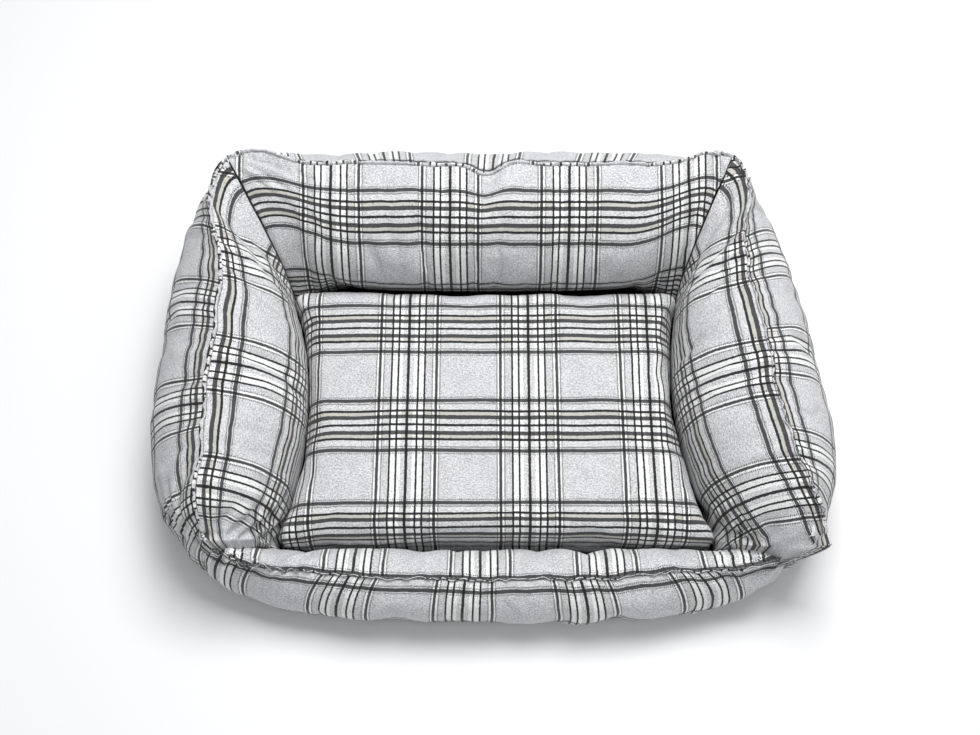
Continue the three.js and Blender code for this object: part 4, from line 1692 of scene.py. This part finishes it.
@dataclass
class CushionZip:
    """The zip along the cushion's back edge: two tapes, a nylon coil, a slider and its pull.

    Attributes:
        pitch: the step of the teeth of one side.
        tooth_radius: the nylon's half thickness.
        tape_thickness: the tapes' thickness.
        tape_margin: how far the stitches keep from a tape's far edge.
        rounding: the radius of the metal's edges.
    """

    pitch: float = 1.9 * MM
    tooth_radius: float = 0.42 * MM
    tape_thickness: float = 0.5 * MM
    tape_margin: float = 1.6 * MM
    rounding: float = 0.28 * MM

    def tapes(self, finishes: Finishes, repeater: Repeater, stitch: bpy.types.Object) -> None:
        """Makes the two woven tapes, each with a row of stitches."""
        for side, sign in (("upper", 1), ("lower", -1)):
            low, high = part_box(f"zip_{side}_tape")
            x = np.linspace(low.x, high.x, 121)
            z = np.linspace(low.z, high.z, 7)
            grid_x, grid_z = np.meshgrid(x, z, indexing="ij")
            wave = 0.12 * MM * ripple(71 + sign, grid_x, 0.05)
            points = np.stack([grid_x, np.full_like(grid_x, high.y - 0.2 * MM) + wave, grid_z], -1)
            flat = np.stack([grid_x, grid_z], -1)
            piece = grid_object(f"zip_{side}_tape_cloth", points, flat, turned=True)
            thicken(piece, self.tape_thickness, smoothed=False)
            dress(piece, finishes.tape, "cushion", [f"zip_{side}_tape"])
            height = high.z - self.tape_margin if sign > 0 else low.z + self.tape_margin
            row = np.stack([x, np.full_like(x, high.y - 0.1 * MM), np.full_like(x, height)], -1)
            sewn = repeater.along(f"zip_{side}_stitches", [row], stitch, ZIP_STITCH_STEP, finishes.thread)
            dress(sewn, finishes.thread, "cushion")

    def coil(self, finishes: Finishes, repeater: Repeater) -> None:
        """Makes the closed coil: a loop of nylon at every pitch, from each side in turn."""
        low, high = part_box("zip_coil")
        tooth = self._tooth((high.z - low.z) / 2 - self.tooth_radius,
                            (high.y - low.y) / 2 - self.tooth_radius)
        middle_y, middle_z = (low.y + high.y) / 2, (low.z + high.z) / 2
        points = [(x, middle_y, middle_z) for x in np.arange(low.x + self.pitch, high.x, self.pitch / 2)]
        piece = repeater.on_points("zip_coil_teeth", np.array(points), tooth, finishes.nylon)
        discard(tooth)
        dress(piece, finishes.nylon, "cushion", ["zip_coil"])

    def _tooth(self, half_height: float, half_depth: float) -> bpy.types.Object:
        """One closed loop of nylon, flat and round-cornered, in the plane across the zip."""
        count, sides = 12, 5
        turn = np.arange(count) * 2 * math.pi / count
        middle = np.stack([np.zeros(count), half_depth * np.sin(turn), half_height * np.cos(turn)], -1)
        out = np.stack([np.zeros(count), np.sin(turn), np.cos(turn)], -1)
        angles = np.arange(sides) * 2 * math.pi / sides
        rings = np.stack([middle + out * math.cos(a) * self.tooth_radius
                          + np.array([1.0, 0, 0]) * math.sin(a) * self.tooth_radius for a in angles], axis=1)
        number = np.arange(count * sides).reshape(count, sides)
        ahead, beside = np.roll(number, -1, 0), np.roll(number, -1, 1)
        both = np.roll(ahead, -1, 1)
        quads = np.stack([number, beside, both, ahead], -1).reshape(-1, 4)
        mesh = bpy.data.meshes.new("zip_tooth")
        mesh.from_pydata(rings.reshape(-1, 3).tolist(), [], quads.tolist())
        turn_outwards(mesh)
        mesh.shade_smooth()
        return add_object("zip_tooth", mesh)

    def metal(self, finishes: Finishes) -> None:
        """Makes the slider and the pull from the frame's solids, with their edges rounded."""
        for node, name, body in (("zip_slider", "zip_slider_metal", "slider"),
                                 ("zip_pull", "zip_pull_metal", "pull")):
            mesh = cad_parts[node].data.copy()
            mesh.name = name
            mesh.materials.clear()
            work = bmesh.new()
            work.from_mesh(mesh)
            bmesh.ops.remove_doubles(work, verts=work.verts, dist=1e-6)
            bmesh.ops.dissolve_limit(work, angle_limit=0.01, verts=work.verts, edges=work.edges)
            bmesh.ops.recalc_face_normals(work, faces=work.faces)
            work.to_mesh(mesh)
            work.free()
            piece = add_object(name, mesh)
            bevel = piece.modifiers.new("round_edges", "BEVEL")
            bevel.width = self.rounding
            bevel.segments = 3
            bevel.limit_method = "ANGLE"
            dress(piece, finishes.metal, body, [node])


# ---- The base ------------------------------------------------------------------------------------------


@dataclass
class Base:
    """The cloth under the bed, with its grip dots, and the lining of the well.

    Attributes:
        dot_step: the spacing of the dots.
        dot_radius: their radius.
        dot_edge: how far they keep from the cloth's edge.
        dot_height: their half height.
        dot_place: the height of their middles.
        cloth_bottom: the height of the cloth's underside, which stands on the dots.
    """

    dot_step: float = 12 * MM
    dot_radius: float = 2.2 * MM
    dot_edge: float = 9 * MM
    dot_height: float = 0.5 * MM
    dot_place: float = 0.55 * MM
    cloth_bottom: float = 0.5 * MM

    @staticmethod
    def _outline(node: str) -> Array:
        """The outline of a flat CAD sheet, in order round its middle."""
        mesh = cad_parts[node].data
        points = read_points(mesh)
        level = points[:, 2].min() + 1e-5
        plan = np.unique(np.round(points[points[:, 2] < level][:, :2], 6), axis=0)
        angle = np.arctan2(plan[:, 1], plan[:, 0])
        return plan[np.argsort(angle)]

    def _sheet(self, name: str, node: str, bottom: float, thickness: float, edge: float) -> bpy.types.Object:
        """A flat sheet with a soft, slightly thicker hem round its outline.

        Args:
            name: the piece's name.
            node: the CAD sheet that it stands for.
            bottom: the height of its underside.
            thickness: its thickness.
            edge: how much thicker its hem is, as a share.

        Returns:
            The sheet.
        """
        outline = self._outline(node)
        rings = []
        for inset, lift in ((0.02, 0.0), (0.006, 0.0), (0.0015, 0.1), (0.0, 0.5), (0.0015, 1.0 + edge),
                            (0.005, 1.0 + edge), (0.007, 1.0), (0.02, 1.0)):
            size = np.linalg.norm(outline, axis=1, keepdims=True)
            ring = outline * (1 - inset / size)
            rings.append(np.concatenate([ring, np.full((len(ring), 1), bottom + lift * thickness)], 1))
        flat = np.array([ring[:, :2] for ring in rings])
        return loft_object(name, np.array(rings), flat)

    def build(self, finishes: Finishes, repeater: Repeater) -> None:
        """Makes the base cloth, its grip dots and the lining."""
        low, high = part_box("base_panel")
        thickness = high.z - low.z - self.cloth_bottom - 0.2 * MM
        cloth = self._sheet("base_cloth", "base_panel", self.cloth_bottom, thickness, 0.15)
        dress(cloth, finishes.base, "bed", ["base_panel"])
        outline = self._outline("base_panel")

        lining_low, lining_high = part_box("floor_lining")
        lining = self._sheet("floor_lining_cloth", "floor_lining", lining_low.z,
                             lining_high.z - lining_low.z - 0.2 * MM, 0.1)
        dress(lining, finishes.lining, "bed", ["floor_lining"])
        self._dots(finishes, repeater)

    def _dots(self, finishes: Finishes, repeater: Repeater) -> None:
        """Makes the rubber grip dots under the base, in staggered rows."""
        outline = self._outline("base_panel")
        radius = np.linalg.norm(outline, axis=1)
        angle = np.arctan2(outline[:, 1], outline[:, 0])
        low, high = outline.min(0), outline.max(0)
        points = []
        for row, y in enumerate(np.arange(low[1], high[1], self.dot_step * 0.866)):
            for x in np.arange(low[0] + (row % 2) * self.dot_step / 2, high[0], self.dot_step):
                edge = np.interp(math.atan2(y, x), angle, radius, period=2 * math.pi)
                if math.hypot(x, y) < edge - self.dot_edge:
                    points.append((x, y, self.dot_place))
        mesh = bpy.data.meshes.new("grip_dot")
        work = bmesh.new()
        flattened = Matrix.Diagonal((self.dot_radius, self.dot_radius, self.dot_height, 1))
        bmesh.ops.create_icosphere(work, subdivisions=1, radius=1.0, matrix=flattened)
        work.to_mesh(mesh)
        work.free()
        mesh.shade_smooth()
        dot = add_object("grip_dot", mesh)
        piece = repeater.on_points("grip_dots", np.array(points), dot, finishes.dots)
        discard(dot)
        dress(piece, finishes.dots, "bed")


# ---- The studio ----------------------------------------------------------------------------------------


@dataclass(frozen=True)
class Studio:
    """The camera, the pale floor and soft lights.

    Attributes:
        elevation: the camera's height above the horizon, in degrees.
        distance: how far it stands from what it aims at.
        aim: that place, in the bed plan's own coordinates.
        sensor: the width of its sensor, in millimetres.
        focal: its focal length, in millimetres.
        half_floor: half the floor's width.
    """

    elevation: float = 64.0
    distance: float = 1.64
    aim: tuple[float, float, float] = (-0.0077, 0.0136, 0.070)
    sensor: float = 36.0
    focal: float = 1450 / 980 * 36.0
    half_floor: float = 6.0

    def camera(self, plan: BedPlan) -> None:
        """Sets the camera high in front of the low wall.

        Args:
            plan: the bed's plan, in whose own coordinates the aim is given.
        """
        data = bpy.data.cameras.new("camera")
        data.lens = self.focal
        data.sensor_width = self.sensor
        data.clip_end = 20.0
        tilt = math.radians(self.elevation)
        back = Vector((0.0, -math.cos(tilt), math.sin(tilt)))
        made = bpy.data.objects.new("camera", data)
        aim = Vector(self.aim) + Vector((*plan.shift(), 0.0))
        made.location = aim + back * self.distance
        made.rotation_euler = back.to_track_quat("Z", "Y").to_euler()
        bpy.context.scene.collection.objects.link(made)
        bpy.context.scene.camera = made

    def floor(self, finishes: Finishes) -> None:
        """Lays the floor."""
        mesh = bpy.data.meshes.new("studio_floor")
        half = self.half_floor
        corners = [(-half, -half, 0), (half, -half, 0), (half, half, 0), (-half, half, 0)]
        mesh.from_pydata(corners, [], [(0, 1, 2, 3)])
        mesh.materials.append(finishes.floor)
        add_object("studio_floor", mesh)

    @staticmethod
    def light(name: str, power: float, size: float, place: Sequence[float], aim: Sequence[float]) -> None:
        """Adds a soft square light.

        Args:
            name: its name.
            power: its power in watts.
            size: its width.
            place: where it hangs.
            aim: what it faces.
        """
        data = bpy.data.lights.new(name, "AREA")
        data.energy = power
        data.size = size
        made = bpy.data.objects.new(name, data)
        made.location = Vector(place)
        made.rotation_euler = (Vector(place) - Vector(aim)).to_track_quat("Z", "Y").to_euler()
        bpy.context.scene.collection.objects.link(made)

    def lights(self) -> None:
        """Sets the soft lights and the pale surroundings."""
        self.light("overhead", 42.0, 1.0, (0.20, 0.45, 2.0), (0, 0, 0.05))
        self.light("from_front", 7.0, 1.2, (0.9, -1.5, 1.5), (0, 0, 0.08))
        world = bpy.data.worlds.new("studio_world")
        world.use_nodes = True
        background = world.node_tree.nodes["Background"]
        background.inputs["Color"].default_value = (0.95, 0.97, 1.0, 1.0)
        background.inputs["Strength"].default_value = 0.36
        bpy.context.scene.world = world
        bpy.context.scene.view_settings.view_transform = "Standard"


# ---- Putting it together -------------------------------------------------------------------------------


def make_walls(plan: BedPlan) -> list[StuffedWall]:
    """The four walls, each with its cuts of cloth and its folds."""
    def at(x: float, y: float, z: float) -> tuple[float, float, float]:
        """A place of the plan, in the frame."""
        dx, dy = plan.shift()
        return x + float(dx), y + float(dy), z

    back_left = Gather(at(-0.290, 0.216, 0.192), 0.048, 6, 3.0 * MM, 3)
    back_right = Gather(at(0.255, 0.218, 0.192), 0.036, 6, 2.2 * MM, 4)
    front_left = Gather(at(-0.287, -0.217, 0.120), 0.062, 11, 3.0 * MM, 5)
    front_right = Gather(at(0.290, -0.214, 0.095), 0.050, 9, 2.6 * MM, 6)
    return [
        StuffedWall(Side.BACK, plan, ClothCut(-0.001, -0.020), ClothCut(-0.052, 0.061),
                    (back_left, back_right), ridge_dips=((-0.006, 0.022, 6 * MM),),
                    tight_ends=(1.3, 1.3), overhang=9 * MM),
        StuffedWall(Side.LEFT, plan, ClothCut(0.0575, 0.003), ClothCut(-0.0395, 0.0),
                    (back_left, front_left), tight_ends=(2.2, 1.5)),
        StuffedWall(Side.RIGHT, plan, ClothCut(-0.0075, -0.008), ClothCut(-0.0455, -0.003),
                    (back_right, front_right), tight_ends=(1.4, 1.4)),
        StuffedWall(Side.FRONT, plan, ClothCut(-0.037, -0.017), ClothCut(-0.018, -0.027),
                    (front_left, front_right), tight_ends=(2.2, 1.4), overhang=2 * MM),
    ]


def main() -> None:
    """Builds the studio, the base, the walls and the cushion."""
    logging.basicConfig(level=logging.INFO, format="%(name)s %(message)s")
    finishes = Finishes()
    plan = BedPlan()
    studio = Studio()
    studio.camera(plan)
    studio.floor(finishes)
    studio.lights()

    repeater = Repeater()
    Base().build(finishes, repeater)
    walls = make_walls(plan)
    cushion = LooseCushion(plan, ClothCut(0.035, -0.0686))
    run = ClothRun()
    for wall in walls:
        wall.simulate(run)
    cushion.simulate(run)
    results = run.run()

    stitch = repeater.capsule("stitch", STITCH_LENGTH, STITCH_RADIUS)
    for wall in walls:
        wall.settle(results[wall.side.value], cushion)
        wall.panels(finishes)
        wall.lip(finishes, repeater, stitch)
        wall.fibre(finishes)
    cushion.settle(results)
    cushion.panels(finishes)
    cushion.seam_roll(finishes)
    cushion.fibre(finishes)
    cushion_zip = CushionZip()
    cushion_zip.tapes(finishes, repeater, stitch)
    cushion_zip.coil(finishes, repeater)
    cushion_zip.metal(finishes)
    discard(stitch)


if __name__ == "__main__":
    main()
